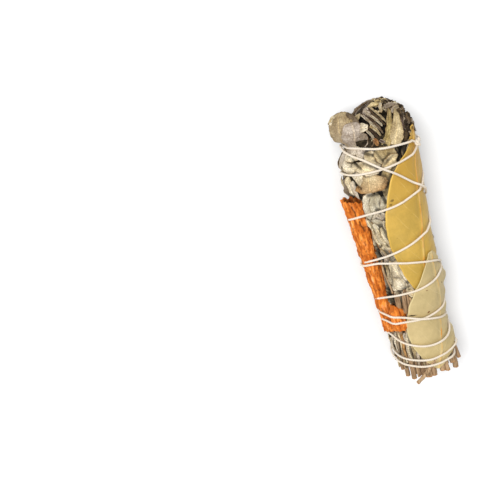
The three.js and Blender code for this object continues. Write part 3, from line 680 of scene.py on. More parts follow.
@dataclass(frozen=True)
class CinnamonBark(Finish):
    """Cassia bark: rough, dry and orange-brown, with long cracks, a painted highlight on its ridges and
    painted shade in its cracks and hollows.
    """

    bright: str = "#f6953a"
    middle: str = "#b25711"
    # fibre paints a highlight on the streaks' ridges, and crack paints the shade in their valleys and in the
    # hollows.
    fibre: str = "#ffc592"
    crack: str = "#3c1a0a"

    def dress(self, tree: NodeTree) -> None:
        """Adds the streaks, the painted highlight on their ridges, and the painted shade in the hollows and
        the cracks.

        Args:
            tree: The material's nodes.
        """
        node = partial(add, tree)
        place = node("ShaderNodeUVMap", uv_map="pattern")
        hollow = node("ShaderNodeAttribute", attribute_name="hollow", out="Fac")
        long = node("ShaderNodeMapping", place, i3=(1.0, 0.2, 1.0))
        streaks = node(Kind.NOISE, long, 1 / 1.5, 4.0, 0.6)
        patches = node(Kind.NOISE, place, 1 / 4.0, 3.0, 0.6)
        colour = node(Kind.BLEND, node(Kind.RAMP, streaks, 0.36, 0.62), rgba(self.middle), rgba(self.bright))
        # Painted highlight: the ridges of the streaks are paled towards the fibre colour.
        colour = node(
            Kind.BLEND, node(Kind.TIMES, node(Kind.RAMP, streaks, 0.56, 0.7), 0.55), colour, rgba(self.fibre)
        )
        colour = node(
            Kind.BLEND, node(Kind.TIMES, node(Kind.RAMP, patches, 0.58, 0.4), 0.65), colour, rgba(self.middle)
        )
        # Painted shade: the valleys of the streaks, which stand for cracks, and the hollows are darkened
        # towards the crack colour.
        crack = node(Kind.RAMP, streaks, 0.38, 0.3)
        deep = node(Kind.LARGER, node(Kind.TIMES, crack, 0.75), hollow)
        colour = node(Kind.BLEND, deep, colour, rgba(self.crack))
        grain = node(Kind.NOISE, place, 1 / 0.3, 3.0, 0.6)
        relief = node(Kind.PLUS, streaks, node(Kind.TIMES, grain, 0.3))
        self.wire(tree, colour, relief, (0.8, 0.5), 0.25)


@dataclass(frozen=True)
class DryStem(Finish):
    """Cut sage stem: weathered grey-brown bark in long fibres, with pale wood where it was cut."""

    bark: str = "#8d7355"
    fibre: str = "#c0a17c"
    crack: str = "#3d2e20"
    wood: str = "#c9935a"

    def dress(self, tree: NodeTree) -> None:
        """Adds the fibres, the cracks and the cut ends.

        Args:
            tree: The material's nodes.
        """
        node = partial(add, tree)
        place = node("ShaderNodeTexCoord", out="Object")
        cut = node("ShaderNodeAttribute", attribute_name="cut", out="Fac")
        hue = node("ShaderNodeAttribute", attribute_name="hue", out="Fac")
        long = node("ShaderNodeMapping", place, i3=(1.0, 0.14, 1.0))
        fibres = node(Kind.NOISE, long, 1 / 0.0006, 4.0, 0.65)
        colour = node(Kind.BLEND, node(Kind.RAMP, fibres, 0.36, 0.62), rgba(self.bark), rgba(self.fibre))
        colour = node(Kind.BLEND, node(Kind.TIMES, hue, 0.5), colour, rgba("#7a5a40"))
        colour = node(
            Kind.BLEND, node(Kind.TIMES, node(Kind.RAMP, fibres, 0.42, 0.3), 0.8), colour, rgba(self.crack)
        )
        speckled = node(
            Kind.BLEND, node(Kind.NOISE, place, 1 / 0.0004, 3.0, 0.6), rgba("#7a512b"), rgba(self.wood)
        )
        colour = node(Kind.BLEND, cut, colour, speckled)
        self.wire(tree, colour, fibres, (0.7, 0.4), 0.2)


@dataclass(frozen=True)
class CottonTwine(Finish):
    """Undyed twisted cotton: soft, matt and nearly white, with a little shadow between its plies."""

    fibre: str = "#e2d8c9"
    shadow: str = "#b5a48e"

    def dress(self, tree: NodeTree) -> None:
        """Adds the fuzz and the slight unevenness of the cotton.

        Args:
            tree: The material's nodes.
        """
        node = partial(add, tree)
        place = node("ShaderNodeTexCoord", out="Object")
        fuzz = node(Kind.NOISE, place, 1 / 0.00025, 3.0, 0.6)
        uneven = node(Kind.NOISE, place, 1 / 0.004, 2.0, 0.6)
        colour = node(Kind.BLEND, node(Kind.RAMP, uneven, 0.3, 0.75), rgba(self.fibre), rgba("#dfd1bc"))
        colour = node(
            Kind.BLEND, node(Kind.TIMES, node(Kind.RAMP, fuzz, 0.5, 0.3), 0.5), colour, rgba(self.shadow)
        )
        self.wire(tree, colour, fuzz, (0.4, 0.2), 0.15, 0.15)


class SageTint(Enum):
    """The colours that dried sage leaves take."""

    CREAM = "#dfcca4"
    PALE = "#e8dcc4"
    YELLOWED = "#c6b075"
    OLIVE = "#b39d70"
    GREY = "#9c8c78"
    LAVENDER = "#bfb1a3"
    TAN = "#c99a62"
    GREEN = "#bfb496"
    BROWN = "#6f5c44"
    BARK = "#574433"
    DARK = "#3f3428"
    # Near black: painted shadow for the deepest gaps at the head.
    PAINTED_SHADOW = "#1f1812"
    RUST = "#94633c"
    ROSE = "#a38c82"
    FAWN = "#b3a084"
    FROST = "#dcd3bd"


# Bay leaves


@dataclass(frozen=True)
class BayLeaf:
    """One bay leaf, wrapped round the front of the bundle.

    The midrib is given as stations and bearings from the stalk end to the tip, and the outline as stations
    and half widths.
    """

    name: str
    finish: DriedBay
    stations: tuple[float, ...]
    bearings: tuple[float, ...]
    outline: tuple[tuple[float, float], ...]
    lap_from: float = 200.0
    lap: float = 0.0
    lap_run: float = 8.0
    flares: tuple[tuple[float, float, float], ...] = ()
    ruffle: float = 0.0
    ruffle_gap: float = 5.6
    round_tip: float = 1.2
    dent: float = 0.4
    sunk: float = 0.6
    thickness: float = 0.32
    seed: int = 5

    def midrib(self, station: Array) -> Array:
        """Returns the midrib's bearing."""
        return np.interp(station, self.stations, self.bearings)

    def half(self, station: Array) -> Array:
        """Returns half the blade's width.

        Args:
            station: Stations in millimetres.

        Returns:
            Half widths in millimetres.
        """
        low, high = self.stations[0], self.stations[-1]
        keys, halves = zip(*self.outline)
        inside = np.clip(np.minimum(station - low, high - station) / self.round_tip, 0, 1)
        return through(keys, halves, np.clip(station, low, high)) * np.sqrt(1 - (1 - inside) ** 2)

    def lift(self, station: Array, across: Array) -> Array:
        """Returns the blade's lift over the outline, at a share across it from -1 to 1.

        Args:
            station: Stations in millimetres.
            across: Shares across the blade, from -1 to 1.

        Returns:
            The lifts of the blade's middle.
        """
        lapped = self.lap * ease((station - self.lap_from) / self.lap_run)
        flared = 0 * station
        for middle, height, run in self.flares:
            flared = flared + height * np.exp(-(((station - middle) / run) ** 2))
        waved = self.ruffle * ease((across - 0.2) / 0.35) * np.cos(
            2 * np.pi * (station - 42.5) / self.ruffle_gap
        )
        return -self.sunk + lapped + flared * np.maximum(across, 0) ** 2 + waved

    def top(self, station: Array, bearing: Array, reach: float) -> tuple[Array, Array]:
        """Returns the lift of the blade's upper face, and where it is under a place or within reach of it.

        Args:
            station: Stations in millimetres.
            bearing: Bearings in degrees.
            reach: How far beside the blade still counts.

        Returns:
            The lifts, and true where the blade is near.
        """
        half = self.half(station)
        offset = np.radians(bearing - self.midrib(station)) * BUNDLE.envelope(station)
        share = np.where(half > 0, np.clip(offset / np.maximum(half, 0.1), -1, 1), 0)
        return self.lift(station, share) + 0.5 * self.thickness, np.abs(offset) - half < reach

    def dent_at(self, bearing: Array) -> Array:
        """Returns how deep the string may press the blade in, which is more at the bundle's side."""
        return self.dent + 0.5 * np.exp(-(((bearing - 88) / 30) ** 2))

    def dented(self, station: Array, bearing: Array, routes: list[Array]) -> Array:
        """Returns how deep the string presses the blade in at each point.

        Args:
            station: Stations in millimetres.
            bearing: Bearings in degrees.
            routes: The string's route.

        Returns:
            Depths in millimetres.
        """
        line = np.concatenate([refined(route, 4) for route in routes])
        near = np.empty(station.shape)
        for row in range(len(station)):
            turn = (bearing[row, :, None] - line[None, :, 1] + 180) % 360 - 180
            aside = np.radians(turn) * BUNDLE.envelope(station[row, :, None])
            near[row] = np.hypot(station[row, :, None] - line[None, :, 0], aside).min(-1)
        return self.dent_at(bearing) * np.exp(-((near / 1.0) ** 2))

    def build(self, routes: list[Array]) -> Object:
        """Makes the leaf: a thin sheet with a waved rim, a raised midrib and the string's dents.

        Args:
            routes: The string's route.

        Returns:
            The piece.
        """
        rows, columns = 150, 49
        share = 0.5 - 0.5 * np.cos(np.linspace(0, np.pi, rows))[:, None]
        share = 0.35 * share + 0.65 * np.linspace(0, 1, rows)[:, None]
        across = np.linspace(-1, 1, columns)[None, :]
        station = self.stations[0] + share * (self.stations[-1] - self.stations[0])
        rim = 1 + 0.012 * Waves(5.0, self.seed)(station, 20 * np.sign(across)) * np.abs(across) ** 4
        half = np.maximum(self.half(station), 0.25) * rim
        offset = across * half
        station = station + 0 * across
        bearing = self.midrib(station) + np.degrees(offset / BUNDLE.envelope(station))
        waves = Waves(13.0, self.seed + 1)(station, offset)
        small = Waves(4.0, self.seed + 2)(station, offset)
        edge = np.abs(across) ** 3
        lift = self.lift(station, across) + 0.14 * waves + 0.035 * small + 0.1 * edge * waves
        lift = lift + 0.2 * np.exp(-(offset / 0.55) ** 2) - 0.1 * np.exp(-((np.abs(offset) - 1.1) / 0.5) ** 2)
        lift = lift - self.dented(station, bearing, routes)
        middle = BUNDLE.skin(station, bearing, lift)
        points = shell_points(middle, self.thickness)
        uv = np.stack([offset, station], -1).reshape(-1, 2)
        edge = np.maximum(np.abs(across) + 0 * share, np.abs(2 * share - 1) ** 6).ravel()
        return make_object(
            self.name, points, shell_faces(rows, columns), self.finish.material(),
            {"rim": np.concatenate([edge, edge])}, np.concatenate([uv, uv])
        )


# Cinnamon


@dataclass(frozen=True)
class Quill:
    """A piece of rolled bark, from its lower end to its upper end."""

    name: str
    low: tuple[float, float, float]
    high: tuple[float, float, float]
    radii: tuple[float, float]
    opens: float
    turn: float
    cracks: tuple[tuple[float, float, float, float], ...] = ()
    wall: float = 0.9
    seed: int = 11
    torn: float = 0.45
    hood: float = 0.0
    lip: tuple[float, float] = (0.9, 250.0)

    def share(self, station: Array) -> Array:
        """Returns the share along the quill."""
        return (station - self.low[1]) / (self.high[1] - self.low[1])

    def centre(self, share: Array) -> Array:
        """Returns the roll's centre.

        Args:
            share: Shares along the quill.

        Returns:
            The points of the roll's centre line.
        """
        low, high = np.array(self.low), np.array(self.high)
        point = low + np.asarray(share, float)[..., None] * (high - low)
        return np.stack([point[..., 0], point[..., 1], BUNDLE.axis_height(point[..., 1]) + point[..., 2]], -1)

    def radius(self, share: Array) -> Array:
        """Returns the roll's outer radius."""
        return self.radii[0] + np.asarray(share, float) * (self.radii[1] - self.radii[0])

    def reach(self, station: Array, bearing: Array, inner: bool) -> tuple[Array, Array]:
        """Finds the roll in a direction from the axis.

        Args:
            station: Stations.
            bearing: Bearings.
            inner: True for the near side of the roll, False for the far side.

        Returns:
            The distance from the axis, and how far the direction passes outside the roll.
        """
        share = self.share(station)
        centre = self.centre(np.clip(share, 0, 1))
        angle = np.radians(bearing)
        height = centre[..., 2] - BUNDLE.axis_height(station)
        nearest = centre[..., 0] * np.sin(angle) + height * np.cos(angle)
        aside = np.abs(centre[..., 0] * np.cos(angle) - height * np.sin(angle))
        radius = self.radius(np.clip(share, 0, 1))
        depth = np.sqrt(np.maximum(radius**2 - aside**2, 0))
        beyond = np.maximum(aside - radius, 0)
        length = self.high[1] - self.low[1]
        past = np.maximum(np.maximum(-share, share - 1) * length, 0)
        miss = np.where(nearest > 0, np.hypot(beyond, past), 99.0)
        return nearest - depth if inner else nearest + depth, miss

    def build(self, material: Material) -> Object:
        """Makes the bark: two faces of a roll, torn at its ends, with long cracks.

        Args:
            material: Its finish.

        Returns:
            The piece.
        """
        rows, columns = (190, 84) if self.high[1] - self.low[1] > 30 else (56, 72)
        share = np.linspace(0, 1, rows)[:, None]
        round_share = np.linspace(0, 1, columns)[None, :]
        angle = np.radians(self.opens + self.turn * round_share)
        span = self.radii[1] * np.radians(self.turn)
        length = self.high[1] - self.low[1]
        along, around = share * length, round_share * span
        cracks = Waves(2.0, self.seed).creased(0.24 * along + 0.22 * around, around)
        lumps = Waves(5.0, self.seed + 1)(0.6 * along, 1.3 * around)
        wrinkles = Waves(1.7, self.seed + 2)(along, 0.5 * around)
        curl = 1.25 * self.wall * ease((round_share * self.turn - 320) / 40)
        slits = 0 * along + 0 * around
        for low, low_angle, high, high_angle in self.cracks:
            part = np.clip((share - low) / (high - low), 0, 1)
            turn = (np.degrees(angle) - low_angle - part * (high_angle - low_angle) + 180) % 360 - 180
            aside = np.radians(turn) * self.radius(share) + 0.25 * Waves(3.0, self.seed + 4)(along, 0 * along)
            past = (share - low - part * (high - low)) * length
            slits = np.maximum(slits, np.exp(-((np.hypot(aside, past) / 0.34) ** 2)))
        reach = self.radius(share) - curl + 0.26 * cracks + 0.28 * lumps + 0.08 * wrinkles - 0.2 - 0.7 * slits
        reach = reach * (1 - self.hood * ease((share - 0.72) / 0.28) ** 2)
        ragged = self.torn * Waves(2.2, self.seed + 3)(around, 0 * around)
        lip = self.lip[0] * np.cos(angle - math.radians(self.lip[1])) + 0 * share
        ends = ragged * ((1 - share) ** 12 - share**12) + lip * share**12
        sides = []
        for wall in (0.0, self.wall):
            centre = self.centre(share + 0 * angle)
            ring = np.stack([np.sin(angle) + 0 * share, 0 * angle + 0 * share, np.cos(angle) + 0 * share], -1)
            point = centre + (reach - np.minimum(wall, 0.6 * reach))[..., None] * ring
            point[..., 1] += ends
            sides.append(point.reshape(-1, 3))
        uv = np.stack(np.broadcast_arrays(around, along), -1).reshape(-1, 2)
        # Painted shade in the hollow attribute: the roll's inner face is darkened, and on its outer face the
        # creases and the slits.
        hollow = np.concatenate([np.zeros(rows * columns), np.full(rows * columns, 0.55)])
        hollow[: rows * columns] = np.maximum(0.6 * ease(-cracks * 1.6 - 0.5), slits).ravel()
        return make_object(
            self.name, np.concatenate(sides), shell_faces(rows, columns), material, {"hollow": hollow},
            np.concatenate([uv, uv])
        )


# The string's route


def through(keys: Sequence[float], values: Sequence[float], at: Array) -> Array:
    """Returns a smooth curve through values, with a mean slope at each key.

    Args:
        keys: Where the values are given, in rising order.
        values: The values.
        at: Where the curve is wanted.

    Returns:
        The curve's values.
    """
    keys, values, at = np.array(keys, float), np.array(values, float), np.asarray(at, float)
    slopes = np.diff(values) / np.diff(keys)
    tangents = np.concatenate([[0.0], 0.5 * (slopes[:-1] + slopes[1:]), [0.0]])
    i = np.clip(np.searchsorted(keys, at, side="right") - 1, 0, len(keys) - 2)
    step = keys[i + 1] - keys[i]
    p = (at - keys[i]) / step
    first = (2 * p**3 - 3 * p**2 + 1) * values[i] + (p**3 - 2 * p**2 + p) * step * tangents[i]
    second = (3 * p**2 - 2 * p**3) * values[i + 1] + (p**3 - p**2) * step * tangents[i + 1]
    return first + second


@dataclass(frozen=True)
class Winding:
    """The cotton string's route: down the stick and back up, always from right to left over the front.

    Each front pass is given by its stations at the bearings 90, 45, 0, -45 and -90.
    """

    passes_down: tuple[tuple[float, ...], ...] = (
        (101.2, 101.7, 102.7, 104.7, 104.8), (102.4, 97.5, 95.6, 95, 95), (87.6, 83.4, 80.4, 78.8, 76.6),
        (71, 66.7, 63, 60.1, 57.6), (50, 46.2, 44.4, 43.2, 41), (35.2, 32.6, 31.6, 31.7, 31.3),
        (16.6, 14, 13.4, 14.6, 15.6)
    )
    passes_up: tuple[tuple[float, ...], ...] = (
        (11.2, 11, 10.9, 12.2, 13.9), (23.4, 19.9, 19.4, 21.9, 25.4), (26.6, 28.4, 31.8, 34.8, 35.5),
        (48.4, 52.9, 56.1, 58.2, 57.0), (77.4, 83.6, 93.6, 102.3, 104.7)
    )
    last_back: float = 102.6
    radius: float = 0.47
    sunk: float = 0.35
    contact: float = 0.02
    bite: float = 0.3
    steps: int = 48
    floor_gap: float = 0.25
    knot_station: float = 100.2
    knot_bearing: float = 53.5
    waist_station: float = 105.5
    waist_depth: float = 3.1
    waist_spread: float = 2.5
    crossing_lift: float = 1.0
    crossing_run: float = 4.2

    def rest(self, station: Array, bearing: Array, under: "Contents") -> Array:
        """Returns how far from the axis the string's centre lies on what is under it.

        Args:
            station: Stations in millimetres.
            bearing: Bearings in degrees.
            under: What lies under the string.

        Returns:
            Distances from the axis.
        """
        bearing = (bearing + 180) % 360 - 180
        envelope = BUNDLE.envelope(station)
        side = 0.5 - 0.5 * np.sin(np.radians(bearing))
        near = np.exp(-(((station - self.waist_station) / self.waist_spread) ** 2))
        waist = self.waist_depth * side * near
        rest = envelope - waist + under.sage(station, bearing) + self.radius - self.sunk
        rest = rest - 0.55 * (np.exp(-(((bearing + 88) / 26) ** 2)) + np.exp(-(((bearing - 92) / 30) ** 2)))
        for quill in under.quills:
            far, miss = quill.reach(station, bearing, False)
            bite = self.bite + 0.75 * np.exp(-(((bearing + 95) / 30) ** 2))
            rest = np.where(miss < 0.6, np.maximum(rest, far + self.radius - bite), rest)
        for leaf in under.leaves:
            top, close = leaf.top(station, bearing, 1.0)
            over = envelope + top - leaf.dent_at(bearing) + self.radius + self.contact
            rest = np.where(close, np.maximum(rest, over), rest)
        return rest

    def tighten(self, bearing: Array, radius: Array) -> Array:
        """Returns the distances of a taut string, which leaves hollows under its straight spans.

        Args:
            bearing: Bearings in degrees.
            radius: The distances without the tension.

        Returns:
            The taut string's distances.
        """
        reach = int(0.42 * self.steps)
        best = radius.copy()
        angle = np.radians(bearing)
        count = len(radius)
        for before in range(1, reach):
            for after in range(1, reach + 1 - before):
                here = slice(before, count - after)
                a = np.abs(angle[here] - angle[: count - after - before])
                b = np.abs(angle[before + after :] - angle[here])
                first, second = radius[: count - after - before], radius[before + after :]
                chord = first * second * np.sin(a + b) / (first * np.sin(a) + second * np.sin(b))
                best[here] = np.maximum(best[here], chord)
        return best

    def part(self, passes: tuple, start: list, end: list, under: "Contents") -> Array:
        """Returns one way along the stick as rows of station, bearing and distance from the axis.

        Args:
            passes: The front passes' stations.
            start: Keys and stations before the first pass.
            end: Keys and stations after the last pass.
            under: What lies under the string.

        Returns:
            The rows.
        """
        keys, values = [key for key, _ in start], [value for _, value in start]
        for number, stations in enumerate(passes):
            keys += [number + i / 8 for i in range(5)]
            values += list(stations)
            if number + 1 < len(passes):
                keys.append(number + 0.75)
                values.append((stations[4] + passes[number + 1][0]) / 2)
        keys += [key for key, _ in end]
        values += [value for _, value in end]
        turns = np.linspace(keys[0], keys[-1], round((keys[-1] - keys[0]) * self.steps) + 1)
        station = through(keys, values, turns)
        bearing = 90 - 360 * turns
        radius = self.tighten(bearing, self.rest(station, bearing, under))
        return np.stack([station, bearing, radius], -1)

    def routes(self, under: "Contents") -> list[Array]:
        """Returns the way down and the way up, which rides over the way down where they cross.

        Args:
            under: What lies under the string.

        Returns:
            The two ways, each as rows of station, bearing and distance from the axis.
        """
        base = (self.passes_down[-1][-1] + self.passes_up[0][0]) / 2
        tie = (90 - self.knot_bearing) / 360
        down_end, up_end = len(self.passes_down) - 0.25, len(self.passes_up)
        down = self.part(self.passes_down, [], [(down_end, base)], under)
        ends = [(up_end - 0.25, self.last_back), (up_end + tie, self.knot_station)]
        up = self.part(self.passes_up, [(-0.25, base)], ends, under)
        down = down[round(tie * self.steps) :]
        turn = (up[:, None, 1] - down[None, :, 1] + 180) % 360 - 180
        apart = np.hypot(up[:, None, 0] - down[None, :, 0], np.radians(turn) * up[:, None, 2])
        nearest = apart.min(1)
        hump = np.maximum(0, 1 - (nearest / self.crossing_run) ** 2)
        hump[: round(0.25 * self.steps)] = 0
        up[:, 2] += self.crossing_lift * hump
        return [down, up]

    def points(self, route: Array) -> Array:
        """Returns the route's points, none of them nearer the floor than the gap allows.

        Args:
            route: Rows of station, bearing and distance from the axis.

        Returns:
            The points in millimetres.
        """
        points = BUNDLE.polar(route[:, 0], route[:, 1], route[:, 2])
        points[:, 2] = np.maximum(points[:, 2], self.radius + self.floor_gap)
        return points


@dataclass(frozen=True)
class Contents:
    """What lies under the string."""

    layers: "Layers"
    bed: Array
    leaves: tuple[BayLeaf, ...]
    quills: tuple[Quill, ...]

    def sage(self, station: Array, bearing: Array) -> Array:
        """Returns the lift of the sage's surface over the outline."""
        return self.layers.read(self.bed, station, np.radians(bearing) * UNROLLED)


# Leaves laid over one another


class Layers:
    """Heights of the leaves laid so far over the unrolled bundle, so that each new leaf lies on the last."""

    low = -3.0

    def __init__(self, cell: float = 0.6, span: tuple[float, float] = (-4.0, 126.0)) -> None:
        """Starts with the bare core.

        Args:
            cell: The map's cell in millimetres.
            span: The first and the last station.
        """
        self.start = span[0]
        girth = 2 * math.pi * UNROLLED
        self.rows = int((span[1] - span[0]) / cell)
        self.columns = int(girth / cell)
        self.height = np.full((self.rows, self.columns), self.low)
        at = span[0] + (np.arange(self.rows) + 0.5) * cell
        self.height += (1 - ease((at - 22) / 8))[:, None] * 2.3
        self.cells = ((span[1] - span[0]) / self.rows, girth / self.columns)
        self.scale = np.ones_like(self.height)
        self.floor = np.full_like(self.height, self.low)
        self.top = self.height

    def read(self, grid: Array, along: Array, around: Array) -> Array:
        """Returns a map's values at places, blended between its cells.

        Args:
            grid: The map.
            along: Stations.
            around: Places round the unrolled bundle, in millimetres.

        Returns:
            The values.
        """
        x = np.clip((along - self.start) / self.cells[0] - 0.5, 0, self.rows - 1.001)
        y = (around / self.cells[1] - 0.5) % self.columns
        i, j = x.astype(int), y.astype(int) % self.columns
        p, q = x - i, y - np.floor(y)
        k = (j + 1) % self.columns
        near = grid[i, j] * (1 - q) + grid[i, k] * q
        far = grid[i + 1, j] * (1 - q) + grid[i + 1, k] * q
        return near * (1 - p) + far * p

    def stamp(self, along: Array, around: Array, height: Array) -> None:
        """Raises the map to a leaf's upper face.

        Args:
            along: Stations.
            around: Places round the unrolled bundle, in millimetres.
            height: Heights over the outline.
        """
        along, around, height = (refined(grid, 5, True) for grid in (along, around, height))
        i = np.clip(((along - self.start) / self.cells[0]).astype(int), 0, self.rows - 1)
        j = (around / self.cells[1]).astype(int) % self.columns
        np.maximum.at(self.height, (i, j), height)

    def bridged(self, times: int) -> Array:
        """Returns a taut surface over the layers' peaks, with no deep hollow above the stems.

        Args:
            times: How often the surface is smoothed.

        Returns:
            The surface's heights, cell by cell.
        """
        at = self.start + (np.arange(self.rows) + 0.5) * self.cells[0]
        taut = np.maximum(self.height, (3 * ease((at - 32) / 6) - 3.2)[:, None])
        for _ in range(times):
            taut = np.maximum(smoothed(taut, True), self.height)
        return taut

    def centres(self) -> tuple[Array, Array]:
        """Returns the stations and bearings of the cells' centres.

        Returns:
            The stations and the bearings, cell by cell.
        """
        along = self.start + (np.arange(self.rows) + 0.5) * self.cells[0]
        around = (np.arange(self.columns) + 0.5) * self.cells[1]
        return along[:, None] + 0 * around, np.degrees(around / UNROLLED) + 0 * along[:, None]

    def squeeze(self, ceiling: Array) -> None:
        """Works out how the layers are pressed down so that they stay under a ceiling.

        Args:
            ceiling: The highest lift that is allowed in each cell.
        """
        top = self.height.copy()
        for _ in range(3):
            sides = [np.roll(top, 1, 1), np.roll(top, -1, 1), np.vstack([top[:1], top[:-1]])]
            top = np.maximum.reduce([top, *sides, np.vstack([top[1:], top[-1:]])])
        for _ in range(8):
            top = smoothed(top, True)
        for _ in range(3):
            ceiling = np.minimum(ceiling, smoothed(ceiling, True))
        self.top = top
        self.floor = np.minimum(self.low, ceiling - 1.2)
        room = (ceiling - self.floor) / np.maximum(top - self.low, 0.1)
        self.scale = np.where(top > ceiling, np.minimum(room, 1.0), 1.0)
        self.floor = np.where(top > ceiling, self.floor, self.low)

    def beside(self) -> Array:
        """Returns how high the leaves reach within a cell of each place.

        Returns:
            The heights, cell by cell.
        """
        near = self.height
        sides = [np.roll(near, 1, 1), np.roll(near, -1, 1), np.vstack([near[:1], near[:-1]])]
        return smoothed(np.maximum.reduce([near, *sides, np.vstack([near[1:], near[-1:]])]), True)

    def pressed(self, along: Array, around: Array, lift: Array) -> Array:
        """Returns lifts after the layers are pressed down."""
        floor = self.read(self.floor, along, around)
        return floor + (lift - self.low) * self.read(self.scale, along, around)


@dataclass(frozen=True)
class Leaf:
    """One sage leaf on the bundle, from its root. The heading 0 runs to the head, and 90 to the right."""

    station: float
    bearing: float
    heading: float
    length: float
    width: float
    tint: SageTint
    seed: int
    second: SageTint | None = None
    bend: float = 0.0
    curl: float = 0.5
    tip_lift: float = 0.4
    crease: float = 0.35
    pleat: float = 0.2
    torn: float = 0.5
    belly: float = 0.85
    blunt: float = 0.6
    gap: float = 0.1
    thickness: float = 0.26
    rows: int = 26
    columns: int = 13


class SageWrap:
    """The sage leaves round the bundle's body, with the core under them, dark as painted shade."""

    def __init__(self) -> None:
        """Starts with the bare core."""
        self.layers = Layers()
        self.laid: list[tuple[str, Leaf, Array, Array, Array]] = []

    def lay(self, leaf: Leaf, pile: str) -> None:
        """Lays one leaf on those before it, as part of a pile.

        Args:
            leaf: The leaf.
            pile: The name of the pile that it joins.
        """
        share = np.linspace(0, 1, leaf.rows)
        across = np.linspace(-1, 1, leaf.columns)[None, :]
        heading = np.radians(leaf.heading + leaf.bend * (share - 0.3))
        step = leaf.length / (leaf.rows - 1)
        along = leaf.station + np.concatenate([[0], np.cumsum(np.cos(heading[:-1]))]) * step
        turned = np.concatenate([[0], np.cumsum(np.sin(heading[:-1]))])
        around = np.radians(leaf.bearing) * UNROLLED + turned * step
        share, heading = share[:, None], heading[:, None]
        length = leaf.length * share
        full = np.maximum(np.sin(np.pi * (0.015 + 0.97 * share) ** leaf.belly), 0) ** leaf.blunt
        side = 9 * np.sign(across)
        rough = 1 + 0.1 * Waves(6.0, leaf.seed)(length, side) + 0.06 * Waves(1.8, leaf.seed + 3)(length, side)
        offset = across * 0.5 * leaf.width * full * rough
        ragged = leaf.torn * Waves(2.2, leaf.seed + 4)(offset, 0 * offset) * share**5
        along = along[:, None] - np.sin(heading) * offset + np.cos(heading) * ragged
        around = around[:, None] + np.cos(heading) * offset + np.sin(heading) * ragged
        base = self.layers.read(self.layers.height, along, around) + leaf.gap
        lift = base
        for _ in range(10):
            lift = np.maximum(smoothed(lift), base)
        for _ in range(2):
            lift = smoothed(lift)
        folds = Waves(3.4, leaf.seed + 1).creased(0.45 * length, offset)
        ripples = Waves(1.9, leaf.seed + 2)(length, offset)
        wander = Waves(9.0, leaf.seed + 5)(length, 0 * length)
        pleats = np.cos(np.pi * (1.2 + 0.4 * (leaf.seed % 5)) * across + 1.3 * wander + leaf.seed)
        cracks = Waves(1.5, leaf.seed + 6).creased(0.6 * length, offset)
        lift = lift + leaf.crease * (folds + 0.7) + 0.3 * leaf.crease * (cracks + 0.7)
        lift = lift + 0.05 * ripples + leaf.pleat * pleats * full
        lift = lift + leaf.curl * np.abs(across) ** 2.5 * (0.4 + 0.6 * share)
        lift = lift + leaf.tip_lift * share**3 - 0.14 * np.exp(-((offset / 0.5) ** 2))
        lift = np.maximum(lift, base)
        self.layers.stamp(along, around, lift + leaf.thickness)
        self.laid.append((pile, leaf, along, around, lift))

    def scatter(self) -> None:
        """Lays the random leaves: dark ones underneath, as painted shade, then pale ones, then narrow strips
        at the base.
        """
        draw = np.random.default_rng(31)
        # Painted shade: the leaves underneath are tinted dark.
        deep = (SageTint.DARK, SageTint.BROWN, SageTint.BARK)
        pale = (
            SageTint.CREAM, SageTint.OLIVE, SageTint.GREY, SageTint.GREEN, SageTint.PALE, SageTint.TAN,
            SageTint.LAVENDER, SageTint.BROWN
        )
        odds = (0.24, 0.17, 0.14, 0.13, 0.12, 0.06, 0.09, 0.05)
        seed = 1000
        for level, root in enumerate((96.0, 88.0, 78.0, 67.0, 56.0, 45.0, 34.0, 28.0)):
            for i in range(8):
                seed += 7
                leaf = Leaf(
                    station=root + draw.uniform(-3, 2),
                    bearing=45 * (i + 0.5 * (level % 2)) + draw.uniform(-9, 9), heading=draw.normal(0, 13),
                    length=4.0 if root > 90 else draw.uniform(12, 14), width=draw.uniform(9.5, 13),
                    tint=deep[draw.integers(len(deep))], seed=seed, curl=0.1, rows=20, columns=9
                )
                self.lay(leaf, "inner")
        for level in range(16):
            for i in range(11):
                seed += 7
                root = 97.0 - 4.7 * level + draw.uniform(-2.5, 2.5)
                leaf = Leaf(
                    station=root, bearing=360 * (i + 0.5 * (level % 2)) / 11 + draw.uniform(-11, 11),
                    heading=draw.normal(0, 24), length=min(draw.uniform(7, 17), 104 - root),
                    width=draw.uniform(3.2, 8.2), tint=pale[draw.choice(len(pale), p=odds)],
                    second=pale[draw.choice(len(pale), p=odds)], seed=seed, bend=draw.normal(0, 22),
                    curl=draw.uniform(0, 1.0), tip_lift=draw.uniform(0, 0.8),
                    crease=draw.uniform(0.25, 0.75), pleat=draw.uniform(0.05, 0.4),
                    torn=draw.uniform(0.2, 1.1), blunt=draw.uniform(0.4, 0.8), rows=22, columns=11
                )
                self.lay(leaf, "outer")
        for i in range(76):
            seed += 7
            leaf = Leaf(
                station=draw.uniform(20, 29), bearing=360 * i / 76 * 2 + draw.uniform(-6, 6),
                heading=180 + draw.normal(0, 8), length=draw.uniform(8, 13), width=draw.uniform(0.9, 3.0),
                tint=pale[draw.choice(len(pale), p=odds)],
                second=(SageTint.GREY, SageTint.BROWN, SageTint.CREAM)[i % 3], seed=seed,
                bend=draw.normal(0, 22), curl=draw.uniform(0, 0.4), crease=0.15, pleat=0.1, blunt=0.4,
                rows=20, columns=7
            )
            self.lay(leaf, "strips")

